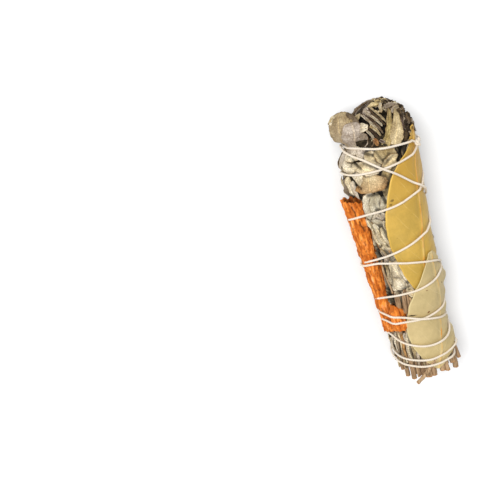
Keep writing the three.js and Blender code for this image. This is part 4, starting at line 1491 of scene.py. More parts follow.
    def place(self) -> None:
        """Lays the leaves that are seen between the bark and the bay leaves, one by one."""
        t = SageTint
        leaves = (
            (86, -46, 4, 9, 7, t.DARK, t.BROWN, 0.3, 0.85, 0.6, 0.5),
            (83, -78, 2, 10, 8, t.BROWN, t.GREY, 0.3, 0.85, 0.5, 0.5),
            (85, -63, -20, 9.5, 2.6, t.PALE, t.CREAM, 0.3, 0.85, 0.5, 0.2),
            (84.5, -57, -18, 8, 2, t.LAVENDER, t.PALE, 0.2, 0.85, 0.5, 0.2),
            (97.5, 7, 191, 12, 4.4, t.CREAM, t.OLIVE, 0.3, 0.85, 0.6, 0.3),
            (95.5, -6, 189, 12, 4.4, t.OLIVE, t.CREAM, 0.3, 0.85, 0.6, 0.3),
            (96.8, -30, 187, 9.8, 14, t.CREAM, t.TAN, 0.3, 2.2, 0.4, 0.6),
            (96.6, -50, 186, 6.4, 6.2, t.PALE, t.CREAM, 0.3, 0.7, 0.4, 0.4),
            (98.6, -53, 112, 10.6, 5.2, t.CREAM, t.PALE, 0.4, 0.85, 0.8, 0.3),
            (98, -73, 96, 7, 5.6, t.PALE, t.CREAM, 0.3, 0.5, 0.7, 0.2),
            (103.4, -84, 176, 6, 6, t.LAVENDER, t.PALE, 0.4, 0.85, 0.6, 0.5),
            (101.8, -73, 81, 11, 5.2, t.PALE, t.CREAM, 0.6, 0.85, 0.5, 0.5),
            (104.8, -72, 97, 9, 4, t.LAVENDER, t.PALE, 0.3, 0.85, 0.5, 0.5),
            (104.4, -30, 183, 4.6, 6.6, t.LAVENDER, t.PALE, 0.4, 0.85, 0.5, 0.5),
            (102.2, -31, 128, 9.2, 5.2, t.CREAM, t.PALE, 0.2, 0.85, 0.85, 0.2),
            (103.2, 1, 187, 7.4, 9.4, t.OLIVE, t.CREAM, 0.3, 0.7, 0.7, 0.2),
            (98.8, 17, 243, 8.2, 4.8, t.CREAM, t.CREAM, 0.2, 0.85, 0.85, 0.2),
            (75.6, -42, 4, 11.2, 7.2, t.FROST, t.PALE, 0.4, 0.85, 0.4, 0.7),
            (75.4, -28, -3, 11.2, 6.2, t.FROST, t.GREEN, 0.4, 0.85, 0.4, 0.7),
            (73, -14, -6, 11.6, 4.6, t.GREEN, t.FROST, 0.5, 0.85, 0.4, 0.6),
            (70, -27, -6, 9, 9.4, t.LAVENDER, t.PALE, 0.3, 0.85, 0.5, 0.7),
            (64.5, -38, -10, 12, 12, t.CREAM, t.FROST, 0.4, 0.85, 0.4, 0.5),
            (67, -46, -22, 9.5, 2.5, t.FROST, t.CREAM, 0.2, 0.85, 0.4, 0.3),
            (65.5, -39, -22, 12, 2.9, t.CREAM, t.FROST, 0.2, 0.85, 0.4, 0.3),
            (64, -31, -22, 12.5, 2.6, t.FROST, t.CREAM, 0.2, 0.85, 0.4, 0.3),
            (62.5, -24, -21, 13, 3, t.CREAM, t.FROST, 0.2, 0.85, 0.4, 0.3),
            (61, -17, -20, 12.5, 2.8, t.FROST, t.CREAM, 0.2, 0.85, 0.4, 0.3),
            (65, -13, -18, 11, 3, t.CREAM, t.FROST, 0.2, 0.85, 0.4, 0.3),
            (69, -12, -14, 8, 3, t.PALE, t.CREAM, 0.2, 0.85, 0.4, 0.3),
            (58.5, -44, -12, 8, 2, t.BROWN, t.TAN, 0.2, 0.85, 0.4, 0.2),
            (56, -25, -16, 10, 5, t.PALE, t.CREAM, 0.2, 0.85, 0.5, 0.4),
            (57, -36, -14, 7, 3.2, t.LAVENDER, t.OLIVE, 0.4, 0.85, 0.4, 0.4),
            (45.5, -34, -5, 12, 4.4, t.PALE, t.OLIVE, 0.5, 0.85, 0.4, 0.5),
            (45.5, -18, -14, 13, 7.8, t.PALE, t.CREAM, 0.5, 0.85, 0.4, 0.7),
            (49, -6, -20, 9, 4.8, t.PALE, t.FROST, 0.4, 0.85, 0.4, 0.5),
            (42, -8, -14, 6, 3.4, t.CREAM, t.PALE, 0.4, 0.85, 0.4, 0.5),
            (27.5, -76, 184, 13, 1.8, t.LAVENDER, t.PALE, 0.2, 0.85, 0.3, 0.3),
            (27, -69, 178, 14, 1.6, t.PALE, t.GREY, 0.2, 0.85, 0.3, 0.3),
            (27.5, -62, 182, 13, 1.7, t.GREY, t.BROWN, 0.2, 0.85, 0.3, 0.3),
            (27, -55, 177, 14.5, 1.5, t.CREAM, t.PALE, 0.2, 0.85, 0.3, 0.3),
            (27.5, -49, 181, 13.5, 1.8, t.TAN, t.BROWN, 0.2, 0.85, 0.3, 0.3),
            (26, -43, 176, 13, 1.9, t.LAVENDER, t.PALE, 0.2, 0.85, 0.3, 0.3),
            (27, -37, 183, 14, 1.6, t.PALE, t.CREAM, 0.2, 0.85, 0.3, 0.3),
            (25, -31, 179, 12.5, 1.8, t.OLIVE, t.GREY, 0.2, 0.85, 0.3, 0.3),
            (21, -25, 182, 10, 1.5, t.LAVENDER, t.GREY, 0.2, 0.85, 0.3, 0.3),
            (18, -18, 178, 8, 1.4, t.CREAM, t.BROWN, 0.2, 0.85, 0.3, 0.3),
        )
        bare, taut = self.layers.height, self.layers.bridged(40)
        self.layers.height = taut.copy()
        for number, row in enumerate(leaves):
            station, bearing, heading, length, width, first, second, crease, belly, blunt, torn = row
            leaf = Leaf(
                station, bearing, heading, length, width, first, 4001 + 11 * number, second,
                bend=10.0 * ((number % 3) - 1), curl=0.15, tip_lift=0.1, crease=0.5 * crease, gap=0.04,
                pleat=0.08, torn=torn, belly=belly, blunt=blunt, rows=40, columns=19
            )
            self.lay(leaf, "placed")
        self.layers.height = np.where(self.layers.height > taut, self.layers.height, bare)

    def bed(self) -> Array:
        """Returns the leaves' upper surface, evened out, as the string finds it.

        Returns:
            The heights, cell by cell.
        """
        top = self.layers.height.copy()
        for _ in range(10):
            top = smoothed(top, True)
        return np.clip(top, -0.8, -0.05)

    def core(self, material: Material) -> Object:
        """Makes the core that shows in the gaps, dark as painted shade.

        Args:
            material: Its finish.

        Returns:
            The piece.
        """
        rows, columns = 96, 72
        station = np.linspace(12.0, 107.0, rows)[:, None]
        bearing = np.linspace(0, 360, columns, endpoint=False)[None, :]
        around = np.radians(bearing) * UNROLLED
        lumps = 0.25 * Waves(3.0, 77)(station, around)
        lift = self.layers.pressed(station + 0 * around, around + 0 * station, self.layers.low + lumps)
        points, faces = closed_tube(BUNDLE.skin(station, bearing, lift))
        return make_object("inner_sage_painted_shade", points, faces, material, {})

    def build(self, binding: "Binding", material: Material) -> list[Object]:
        """Presses the leaves under the string and what it holds, and makes one piece of each pile.

        Args:
            binding: What presses on the leaves.
            material: Its finish.

        Returns:
            The pieces, one for each pile.
        """
        self.layers.squeeze(binding.limits)
        piles: dict[str, Pile] = {}
        beside = self.layers.beside()
        for name, leaf, along, around, lift in self.laid:
            # Painted shade: each leaf's colour is darkened where it lies deep under the others, beside the
            # raised edges of the leaves over it, and in the gaps.
            depth = self.layers.read(self.layers.top, along, around) - lift
            shade = 1 - (0.3 if name == "placed" else 0.7) * ease((depth - 0.8) / 2.2)
            own = spread(lift, 3 if name == "placed" else 1) + leaf.thickness
            step = self.layers.read(beside, along, around) - own
            shade = shade * (1 - 0.7 * ease((step - 0.2) / 0.4)) * binding.light(along, around)
            lift = self.layers.pressed(along, around, lift)
            middle = BUNDLE.skin(along, np.degrees(around / UNROLLED), lift)
            middle[..., 2] = np.maximum(middle[..., 2], 0.2 + 0.01 * (leaf.seed % 7))
            tints = leaf.tint, leaf.second or leaf.tint
            pile = piles.setdefault(name, Pile())
            pile.add_sheet(middle, leaf.thickness, tints, (leaf.length, leaf.width), leaf.seed, shade)
        return [pile.build(f"sage_{name}", material) for name, pile in piles.items()]


class Binding:
    """What presses on the leaves: the string, the bay leaves, the bark and the floor."""

    highest: float = 1.0
    pressed: float = 0.8
    # Gaps between the leaves, each given by the stations and bearings of its two ends and its size: the
    # leaves are lowered along it and darkened as painted shade.
    gaps: tuple[tuple[float, float, float, float, float], ...] = (
        (39.5, -50, 47.3, -52, 2.8), (47.3, -52, 54.8, -57, 2.8), (54.8, -57, 62.5, -52, 2.4),
        (43, -57, 55, -61, 2.8), (59, -48, 72, -58, 2.2), (35, -34, 43.6, -31, 2.4),
        (36, -24, 42.7, -20, 2.2), (36, -45, 44, -47, 2.4), (35, -26, 39, -26, 2.4),
        (82, -17, 86, -20, 2.0), (85, -14, 92.5, 1, 1.6), (97, -5, 103, -15, 1.4), (96.6, 17, 101, 30, 2.2),
        (97, -42, 99.5, -53, 1.8), (101.0, -20, 102.4, -30, 1.8), (96.2, -18, 98.6, -35, 1.5),
        (89, -52, 94, -70, 2.0), (85.9, -42, 86.2, -16, 1.8), (47.4, -41, 55.4, -34, 1.2),
        (50.2, -20, 51.1, -33, 1.1), (45.6, -23, 46.3, -10, 1.4), (51.5, -39, 57.8, -40, 1.2),
        (88.7, -8, 93.6, -13, 1.3), (97.2, -44, 100.6, -52, 1.5), (96.9, -4, 99.2, 10, 1.1),
        (102.7, -33, 103.2, -23, 1.3), (70.2, -47, 75.5, -50, 1.2)
    )

    def __init__(self, routes: list[Array], contents: Contents) -> None:
        """Works out how high the leaves may be.

        Args:
            routes: The string's route.
            contents: What lies under the string.
        """
        self.routes = routes
        self.contents = contents
        self.limits = self.ceiling(*contents.layers.centres())

    def hold(self, points: Array) -> Array:
        """Returns points of the head's leaves, moved in where the string or a bay leaf holds them down.

        Args:
            points: The points.

        Returns:
            The moved points.
        """
        station, x = points[..., 1], points[..., 0]
        z = points[..., 2] - BUNDLE.axis_height(station)
        bearing, radius = np.arctan2(x, z), np.hypot(x, z)
        limit = BUNDLE.envelope(station) + self.contents.layers.read(self.limits, station, bearing * UNROLLED)
        excess = np.maximum(radius - limit, 0) * ease((108.5 - station) / 2)
        scale = 1 - excess / np.maximum(radius, 1)
        return np.stack([x * scale, station, BUNDLE.axis_height(station) + z * scale], -1)

    def light(self, along: Array, around: Array) -> Array:
        """Returns the share of the leaves' colour that is left in and beside the gaps, where they are
        darkened as painted shade.

        Args:
            along: Stations.
            around: Places round the unrolled bundle, in millimetres.

        Returns:
            Shares from 0 to 1.
        """
        left = np.ones(along.shape)
        for gap in self.gaps:
            dark = ease(1.7 - self.from_gap(along, around, gap) / (0.32 * gap[-1]))
            left = np.minimum(left, 1 - min(0.4 * gap[-1], 0.85) * dark)
        return left

    def from_gap(self, along: Array, around: Array, gap: tuple[float, ...]) -> Array:
        """Returns how far places are from the line along a gap's middle.

        Args:
            along: Stations.
            around: Places round the unrolled bundle, in millimetres.
            gap: The stations and bearings of its two ends, and its size.

        Returns:
            Distances in millimetres.
        """
        low, low_bearing, high, high_bearing, _ = gap
        run, turn = high - low, UNROLLED * math.radians(high_bearing - low_bearing)
        ahead = along - low
        aside = (around - UNROLLED * math.radians(low_bearing) + GIRTH / 2) % GIRTH - GIRTH / 2
        share = np.clip((ahead * run + aside * turn) / (run**2 + turn**2), 0, 1)
        return np.hypot(ahead - share * run, aside - share * turn)

    def ceiling(self, station: Array, bearing: Array) -> Array:
        """Returns the highest lift that the leaves may have at places.

        Args:
            station: Stations in millimetres.
            bearing: Bearings in degrees.

        Returns:
            The lifts.
        """
        bearing = (bearing + 180) % 360 - 180
        envelope = BUNDLE.envelope(station)
        flat = ease((75 - np.abs(bearing + 5)) / 15) * ease((104 - station) / 4)
        best = self.highest - self.pressed * flat
        down = -np.cos(np.radians(bearing))
        under = (BUNDLE.axis_height(station) - 0.25) / np.maximum(down, 0.05) - envelope
        best = np.minimum(best, np.where(down > 0.05, under, self.highest))
        for leaf in self.contents.leaves:
            half = leaf.half(station)
            offset = np.abs(np.radians(bearing - leaf.midrib(station)) * envelope)
            past = np.maximum(np.maximum(leaf.stations[0] - station, station - leaf.stations[-1]), 0)
            beyond = np.hypot(np.maximum(offset - half, 0), past)
            below = leaf.lift(station, 0 * station) - 0.45
            slope = np.where(bearing > leaf.midrib(station), 0.4, 2.0)
            best = np.minimum(best, below + slope * beyond)
        for quill in self.contents.quills:
            near, miss = quill.reach(station, bearing, True)
            best = np.minimum(best, near - envelope - 0.3 + 2.2 * miss)
        for gap in self.gaps:
            apart = self.from_gap(station, UNROLLED * np.radians(bearing), gap)
            best = np.minimum(best, 2.5 * np.maximum(apart - 0.25 * gap[-1], 0) - gap[-1])
        flat = station.ravel(), bearing.ravel(), envelope.ravel()
        for route in (refined(route, 3) for route in self.routes):
            lifts = route[:, 2] - BUNDLE.envelope(route[:, 0]) - 0.5
            for first in range(0, flat[0].size, 4000):
                part = slice(first, first + 4000)
                turn = (flat[1][part, None] - route[None, :, 1] + 180) % 360 - 180
                apart = np.hypot(
                    flat[0][part, None] - route[None, :, 0], np.radians(turn) * flat[2][part, None]
                )
                press = lifts[None, :] + 0.75 * np.maximum(apart - 0.4, 0)
                best.ravel()[part] = np.minimum(best.ravel()[part], press.min(1))
        return best


# The head


@dataclass(frozen=True)
class Cap:
    """A round mass of leaf at the head, as an ellipsoid."""

    centre: tuple[float, float, float]
    radii: tuple[float, float, float]

    def way(self, x: float, station: float) -> Array:
        """Returns the unit direction of the place on the upper side that is over a point of the floor.

        Args:
            x: The place across the stick.
            station: The place along the stick.

        Returns:
            The unit direction.
        """
        aside, onward = (x - self.centre[0]) / self.radii[0], (station - self.centre[1]) / self.radii[1]
        flat = math.hypot(aside, onward)
        size = min(1.0, 0.998 / max(flat, 1e-6))
        return np.array([aside * size, onward * size, math.sqrt(1 - min(flat, 0.998) ** 2)])

    def point(self, way: Array, lift: Array) -> Array:
        """Returns the points in unit directions from the centre, at a lift over the surface."""
        return np.array(self.centre) + way * np.array(self.radii) + way * np.asarray(lift)[..., None]


DOME = Cap((3.0, 105.0, 15.1), (12.6, 13.6, 13.0))
FOLD = Cap((-9.3, 110.3, 15.5), (5.8, 6.8, 8.2))


def unit(vector: Array) -> Array:
    """Returns vectors of length 1."""
    return vector / (np.linalg.norm(vector, axis=-1, keepdims=True) + 1e-9)


@dataclass(frozen=True)
class Strip:
    """A strip of leaf at the head, along a path of directions from its cap's centre.

    The roll is the angle that its section turns through, outwards where it is positive, and the tilt
    turns it about its length. A draped strip follows the cap across its width too.
    """

    cap: Cap
    path: tuple[Array, ...]
    width: float
    tint: SageTint
    seed: int
    second: SageTint | None = None
    lift: float = 0.0
    rise: float = 0.0
    roll: float = 120.0
    tilt: float = 0.0
    draped: bool = False
    belly: float = 0.8
    blunt: float = 0.5
    crumple: float = 0.16
    rows: int = 12
    columns: int = 7


class SageHead:
    """The curled leaf tips at the head: a main dome and a smaller fold."""

    def __init__(self, binding: Binding) -> None:
        """Starts with nothing.

        Args:
            binding: What holds the leaves down at the neck.
        """
        self.binding = binding
        self.piles = {"head_inner": Pile(), "head_outer": Pile()}

    def add(self, strip: Strip, pile: str) -> None:
        """Adds a strip of leaf to a pile.

        Args:
            strip: The strip.
            pile: The name of the pile that it joins.
        """
        cap = strip.cap
        keys = np.linspace(0, 1, len(strip.path))
        steps = np.linspace(0, 1, strip.rows)
        way = np.stack([np.interp(steps, keys, [p[k] for p in strip.path]) for k in range(3)], -1)
        for _ in range(3):
            way[1:-1] = 0.5 * way[1:-1] + 0.25 * (way[2:] + way[:-2])
        way = unit(way)
        lift = strip.lift + strip.rise * steps**1.5
        line = cap.point(way, lift)
        length = np.linalg.norm(np.diff(line, axis=0), axis=1).sum()
        run = length * steps[:, None]
        full = np.maximum(np.sin(np.pi * (0.02 + 0.96 * steps) ** strip.belly), 0) ** strip.blunt
        v = np.linspace(-1, 1, strip.columns)[None, :]
        side = 7 * np.sign(v)
        rough = 1 + 0.08 * Waves(4.0, strip.seed)(run, side) + 0.07 * Waves(1.5, strip.seed + 2)(run, side)
        half = 0.5 * strip.width * full[:, None] * rough
        turn = max(math.radians(abs(strip.roll)) / 2, 0.02)
        x = half / turn * np.sin(turn * v)
        z = math.copysign(1, strip.roll) * half / turn * (1 - np.cos(turn * v))
        z = z + strip.crumple * Waves(2.2, strip.seed + 1)(run, 2.0 * half * v)
        if strip.draped:
            across = unit(np.cross(np.gradient(way, axis=0), way))
            fanned = unit(way[:, None, :] + (x / cap.radii[0])[..., None] * across[:, None, :])
            middle = cap.point(fanned, lift[:, None] + z)
        else:
            tangent = unit(np.gradient(line, axis=0))
            across = unit(np.cross(tangent, way))
            normal = np.cross(across, tangent)
            tilt = math.radians(strip.tilt)
            across, normal = (
                math.cos(tilt) * across + math.sin(tilt) * normal,
                math.cos(tilt) * normal - math.sin(tilt) * across,
            )
            middle = line[:, None, :] + x[..., None] * across[:, None, :] + z[..., None] * normal[:, None, :]
        # Painted shade: a strip is darker where it lies deep in its cap, and in the middle of a rolled
        # strip's trough.
        away = (middle - np.array(cap.centre)) / np.array(cap.radii)
        depth = 13.0 * (1 - np.linalg.norm(away, axis=-1))
        trough = (1 - np.abs(v) ** 1.5) * min(abs(strip.roll) / 240, 1)
        shade = (1 - 0.8 * ease((depth + 0.2) / 2.0)) * (1 - 0.65 * trough)
        middle = self.binding.hold(middle)
        middle[..., 2] = np.maximum(middle[..., 2], 0.3)
        tints = strip.tint, strip.second or strip.tint
        self.piles[pile].add_sheet(middle, 0.26, tints, (length, strip.width), strip.seed, shade)

    def scatter(self) -> None:
        """Adds the random strips, near black at the front, where the placed ones lie over them, and dark on
        the right, as painted shade.
        """
        draw = np.random.default_rng(57)
        tints = (
            SageTint.GREY, SageTint.BROWN, SageTint.BARK, SageTint.LAVENDER, SageTint.DARK, SageTint.OLIVE
        )
        # Painted shade: the strips at the front, under the placed ones, are near black, and those on the
        # right, away from the light, take darker tints.
        deep = (SageTint.PAINTED_SHADOW, SageTint.DARK, SageTint.BARK)
        odds = (0.16, 0.26, 0.24, 0.04, 0.24, 0.06), (0.08, 0.16, 0.32, 0.02, 0.4, 0.02)
        golden = math.pi * (3 - math.sqrt(5))
        for cap, count, seed in ((DOME, 330, 5000), (FOLD, 70, 7000)):
            for i in range(count):
                y = -0.45 + 1.44 * (i + 0.5) / count
                flat = math.sqrt(max(1 - y * y, 0))
                out = np.array([flat * math.sin(golden * i), y, flat * math.cos(golden * i)])
                up = unit(np.array([0.0, 1.0, 0.0]) - out * y)
                side = np.cross(up, out)
                heading, bend = math.radians(draw.normal(0, 30)), math.radians(draw.normal(0, 50))
                length = draw.uniform(3, 7.5) / cap.radii[1]
                path = [out]
                for k in range(3):
                    turn = heading + bend * k / 2
                    path.append(unit(path[-1] + length / 3 * (math.cos(turn) * up + math.sin(turn) * side)))
                place = cap.point(out, 0.0)
                hollow = place[2] > 15 and np.hypot(place[0] - 4.2, place[1] - 112.8) < 2.6
                right = place[0] > 8.5
                front = place[2] > 18 and not right
                deeper = front or cap is FOLD
                lowest = -2.5 if deeper else -2.9 if right else -2.3
                strip = Strip(
                    cap, tuple(path),
                    width=draw.uniform(1.4, 2.8) if front or right else draw.uniform(2.2, 4.6),
                    tint=deep[i % 3] if front else tints[draw.choice(len(tints), p=odds[int(right)])],
                    second=deep[i % 2] if front or right and i % 3 else tints[draw.integers(len(tints))],
                    seed=seed + 5 * i, lift=draw.uniform(lowest, -1.3 if deeper else -0.9),
                    rise=draw.uniform(-0.6, 0.2 if deeper else 0.4),
                    roll=draw.uniform(110, 290) if right else draw.uniform(60, 230), tilt=draw.normal(0, 40)
                )
                if not hollow:
                    self.add(strip, "head_inner")

    def place(self) -> None:
        """Adds the leaves that are seen at the front of the head, one by one.

        Each row gives the path as x and station in turn, the width, the two tints, the lift,
        the rise, the roll, the tilt, whether it is draped, and the belly and bluntness of its outline.
        """
        t = SageTint
        fold = (
            ((-10.4, 101.8, -12.8, 110, -10.2, 117.4), 13, t.FAWN, t.OLIVE, 0.8, 0.1, 8, 0, 1, 1.8, 0.62),
            ((-7, 110.5, -7.6, 113.5, -8.8, 116.3), 3, t.GREY, t.BROWN, 0.9, 0.4, 90, 20, 0, 0.8, 0.5),
            ((-9.4, 104.4, -9.1, 109, -8.8, 113.4), 7.6, t.LAVENDER, t.LAVENDER, 1.6, 0.3, 14, 0, 1, 1.3, 0.4)
        )
        dome = (
            ((-7.6, 104, -5.4, 106.6, -4.2, 108.8), 5.2, t.LAVENDER, t.GREY, 1, 0.2, 40, 0, 0, 0.8, 0.5),
            ((-11.5, 103.6, -6.5, 104.1), 2.4, t.PALE, t.LAVENDER, 1.1, 0, 60, 0, 0, 0.8, 0.4),
            ((-6.6, 110.8, -2.8, 110.6), 3.6, t.PALE, t.PALE, 1.3, 0.1, 30, 0, 0, 0.9, 0.25),
            ((-7.6, 112, -6.6, 115.6, -3.8, 118.4, 0.6, 119.2),
             2.6, t.GREY, t.BROWN, 0.3, 0, 130, 0, 0, 0.9, 0.35),
            ((-6.6, 113.8, -4.8, 116.6, -1.6, 118.4, 1.6, 118.6),
             1.7, t.FAWN, t.GREY, 0.5, 0, 150, 20, 0, 0.9, 0.3),
            ((-5.4, 114.2, -3.8, 116.2, -1.2, 117.6), 1.6, t.LAVENDER, t.BROWN, 0.5, 0, 150, 20, 0, 0.9, 0.3),
            ((-7.8, 113.6, -5.6, 117.2, -2.2, 119.4), 1.5, t.GREY, t.BARK, 0.2, 0, 130, -20, 0, 0.9, 0.3),
            ((-6.3, 112.3, -5, 113.8, -3.6, 115.2), 2.8, t.OLIVE, t.CREAM, 1, 0.2, 70, 0, 0, 0.8, 0.5),
            ((-0.9, 116.8, 1.4, 117.2, 3.4, 116.8), 3, t.CREAM, t.YELLOWED, 0.6, 0.2, 50, 0, 0, 1.4, 0.7),
            ((-2, 112.6, -1.7, 114.8, -1.3, 116.6), 3, t.GREY, t.LAVENDER, 0.7, 0.2, 50, 0, 0, 0.9, 0.5),
            ((4, 117, 3.3, 115.8, 2.7, 114.2), 1.5, t.PALE, t.CREAM, 0.7, 0.2, 150, 0, 0, 0.8, 0.3),
            ((1.7, 105.2, 3.6, 109.6, 5.5, 114.2), 2.6, t.YELLOWED, t.OLIVE, 0.9, 0.5, 30, -36, 0, 0.9, 0.3),
            ((3.9, 102.6, 6, 107.6, 7.5, 114), 5.6, t.CREAM, t.OLIVE, 0.9, 0.7, 16, 22, 0, 0.42, 0.8),
            ((0.2, 103, 1.6, 104.6, 2.2, 106.6), 3.4, t.OLIVE, t.YELLOWED, 0.5, 0.2, 20, 0, 0, 0.8, 0.5),
            ((6.4, 113.2, 8.2, 114.2, 9.8, 114), 2, t.LAVENDER, t.CREAM, 0.6, 0.2, 120, 10, 0, 0.8, 0.4),
            ((4.6, 115.4, 7, 115.8, 10, 114.4), 2.2, t.GREY, t.LAVENDER, 0.3, 0.4, 110, -10, 0, 0.8, 0.5),
            ((-2.2, 106.6, -1.7, 105.4, -1.5, 103.9), 1.9, t.RUST, t.TAN, 1.2, 0, 60, 0, 0, 0.8, 0.5),
            ((-0.5, 105.8, 0.9, 104.6), 2, t.ROSE, t.LAVENDER, 1.3, 0, 240, 0, 0, 0.8, 0.4),
            ((7.6, 104, 8.6, 108, 9.4, 111.5), 2, t.ROSE, t.BARK, 0, 0.2, 120, 20, 0, 0.8, 0.4),
            ((-4.6, 103.8, -3.2, 105.4, -2.2, 107), 2.8, t.GREY, t.LAVENDER, 0.6, 0.2, 90, 20, 0, 0.8, 0.5),
            # The strips on the right are tinted dark, as painted shade on the side away from the light.
            ((9.6, 113.2, 10.8, 110.8, 11.6, 108.6), 1.8, t.BROWN, t.BARK, -0.1, 0.2, 120, 20, 0, 0.8, 0.4),
            ((10.4, 107.4, 11.2, 105, 11.8, 102.8), 1.7, t.BARK, t.DARK, -0.1, 0.2, 120, -20, 0, 0.8, 0.4),
            ((8.6, 102.4, 9.6, 105, 10.2, 107.6), 1.7, t.BROWN, t.DARK, -0.1, 0.2, 120, 20, 0, 0.8, 0.4),
        )
        rows = [(FOLD, *row) for row in fold] + [(DOME, *row) for row in dome]
        # These rolled strips alternate pale and dark tints; the dark ones are painted shade between the pale
        # ones.
        for k in range(4):
            x, s, pale = 1.0 * k, 0.55 * k, (t.PALE, t.BARK, t.CREAM, t.GREY)[k]
            ends = (-3.9 + x, 110.2 + s, -2.7 + x, 107.9 + s, -1.9 + x, 105.9 + s)
            rows.append((DOME, ends, 1.15, pale, pale, 1.1, 0.0, 200, 30, 0, 0.8, 0.3))
        for k in range(5):
            x, s, pale = 0.95 * k, 0.35 * k, (t.PALE, t.BARK, t.PALE, t.BROWN, t.CREAM)[k]
            ends = (-3.9 + x, 115.2 + s, -2.2 + x, 112.6 + 0.8 * s, -0.3 + x, 109.6 + 0.5 * s)
            rows.append((DOME, ends, 1.3, pale, pale, 0.8, 0.1, 190, 35, 0, 0.8, 0.3))
        for number, row in enumerate(rows):
            cap, path, width, first, second, lift, rise, roll, tilt, draped, belly, blunt = row
            strip = Strip(
                cap, tuple((cap.way(x, station) for x, station in zip(path[::2], path[1::2]))), width,
                first, 9001 + 13 * number, second, lift, rise, roll, tilt, bool(draped), belly, blunt,
                rows=30, columns=25 if width > 6 else 13
            )
            self.add(strip, "head_outer")

    def bun(self) -> None:
        """Adds the ridges of the curled bun at the upper left of the dome."""
        middle = DOME.way(-1.9, 117.3)
        side = unit(np.cross([0.0, 1.0, 0.0], middle))
        up = np.cross(middle, side)
        t = SageTint
        for k, tint in enumerate((t.GREY, t.BARK, t.GREY, t.BROWN, t.GREY, t.BARK)):
            angles = np.radians(np.linspace(-40 - 6 * k, 215 + 4 * k, 9))
            reach = (0.8 + 0.85 * k) / 13.0
            path = tuple(unit(middle + reach * (math.cos(a) * side + math.sin(a) * up)) for a in angles)
            strip = Strip(
                DOME, path, 2.1, tint, 9701 + 7 * k, SageTint.BROWN, lift=-1.5 - 0.12 * k, roll=70,
                tilt=-62, blunt=0.25, rows=34, columns=9
            )
            self.add(strip, "head_outer")

    def core(self, material: Material) -> Object:
        """Makes the masses under the strips, dark as painted shade.

        Args:
            material: Its finish.

        Returns:
            The piece.
        """
        parts, faces, count = [], [], 0
        rows, columns = 24, 36
        for cap in (DOME, FOLD):
            polar = np.linspace(0.02, math.pi - 0.02, rows)[:, None]
            angle = np.linspace(0, 2 * math.pi, columns, endpoint=False)[None, :]
            way = np.stack(
                [np.sin(polar) * np.sin(angle), np.cos(polar) + 0 * angle, np.sin(polar) * np.cos(angle)], -1
            )
            lumps = 0.5 * Waves(4.0, 81, 3)(*(10 * way[..., k] for k in range(3)))
            tube, wall = closed_tube(cap.point(way, lumps - 2.6))
            parts.append(tube)
            faces.append(wall[:, [0, 3, 2, 1]] + count)
            count += len(tube)
        return make_object("inner_head_painted_shade", np.concatenate(parts), np.concatenate(faces), material, {})

    def build(self, material: Material) -> list[Object]:
        """Makes one piece of each pile.

        Args:
            material: Its finish.

        Returns:
            The pieces, one for each pile.
        """
        self.scatter()
        self.place()
        self.bun()
        return [pile.build(f"sage_{name}", material) for name, pile in self.piles.items()]


# Pieces that follow a path, made with Geometry Nodes


def path_object(name: str, lines: list[Array], values: dict[str, list[float]]) -> Object:
    """Makes an object of open paths for a node tree to work on.

    Args:
        name: The object's name.
        lines: The paths' points in millimetres.
        values: Named numbers, one for each path.

    Returns:
        The object.
    """
    points = (np.concatenate(lines) + SHIFT) * MM
    edges, start = [], 0
    for line in lines:
        edges += [(start + i, start + i + 1) for i in range(len(line) - 1)]
        start += len(line)
    mesh = bpy.data.meshes.new(name)
    mesh.from_pydata(points.tolist(), edges, [])
    for key, numbers in values.items():
        each = np.concatenate([np.full(len(line), number) for line, number in zip(lines, numbers)])
        mesh.attributes.new(key, "FLOAT", "POINT").data.foreach_set("value", each.astype(np.float32))
    piece = bpy.data.objects.new(name, mesh)
    bpy.context.scene.collection.objects.link(piece)
    return piece


def new_tree(name: str, inputs: dict[str, tuple[str, float]]) -> NodeTree:
    """Starts a geometry node tree with named inputs.

    Args:
        name: The tree's name.
        inputs: Each input's socket type and default.

    Returns:
        The tree, with its group input and output.
    """
    tree = bpy.data.node_groups.new(name, "GeometryNodeTree")
    tree.interface.new_socket("Geometry", in_out="INPUT", socket_type="NodeSocketGeometry")
    for key, (kind, value) in inputs.items():
        socket = tree.interface.new_socket(key, in_out="INPUT", socket_type=kind)
        if kind != "NodeSocketMaterial":
            socket.default_value = value
    tree.interface.new_socket("Geometry", in_out="OUTPUT", socket_type="NodeSocketGeometry")
    tree.nodes.new("NodeGroupInput")
    return tree


def finish_tree(tree: NodeTree, geometry: NodeSocket, material: NodeSocket) -> None:
    """Ends a tree in Realize Instances and Set Material.

    Args:
        tree: The geometry tree.
        geometry: What the tree has made.
        material: The group's material input.
    """
    node = partial(add, tree)
    real = node("GeometryNodeRealizeInstances", geometry)
    dressed = node("GeometryNodeSetMaterial", Geometry=real, Material=material)
    smooth = node("GeometryNodeSetShadeSmooth", dressed)
    output = tree.nodes.new("NodeGroupOutput")
    tree.links.new(smooth, output.inputs[0])


def run_tree(piece: Object, tree: NodeTree, inputs: dict) -> None:
    """Runs a tree on a piece, and keeps the result as its plain mesh.

    Args:
        piece: The piece.
        tree: The geometry tree.
        inputs: The tree's inputs by name.
    """
    modifier = piece.modifiers.new(tree.name, "NODES")
    modifier.node_group = tree
    for item in tree.interface.items_tree:
        if item.in_out == "INPUT" and item.name in inputs:
            modifier[item.identifier] = inputs[item.name]
    seen = piece.evaluated_get(bpy.context.evaluated_depsgraph_get())
    mesh = bpy.data.meshes.new_from_object(seen)
    piece.modifiers.remove(modifier)
    old = piece.data
    piece.data = mesh
    bpy.data.meshes.remove(old)
    mesh.name = piece.name


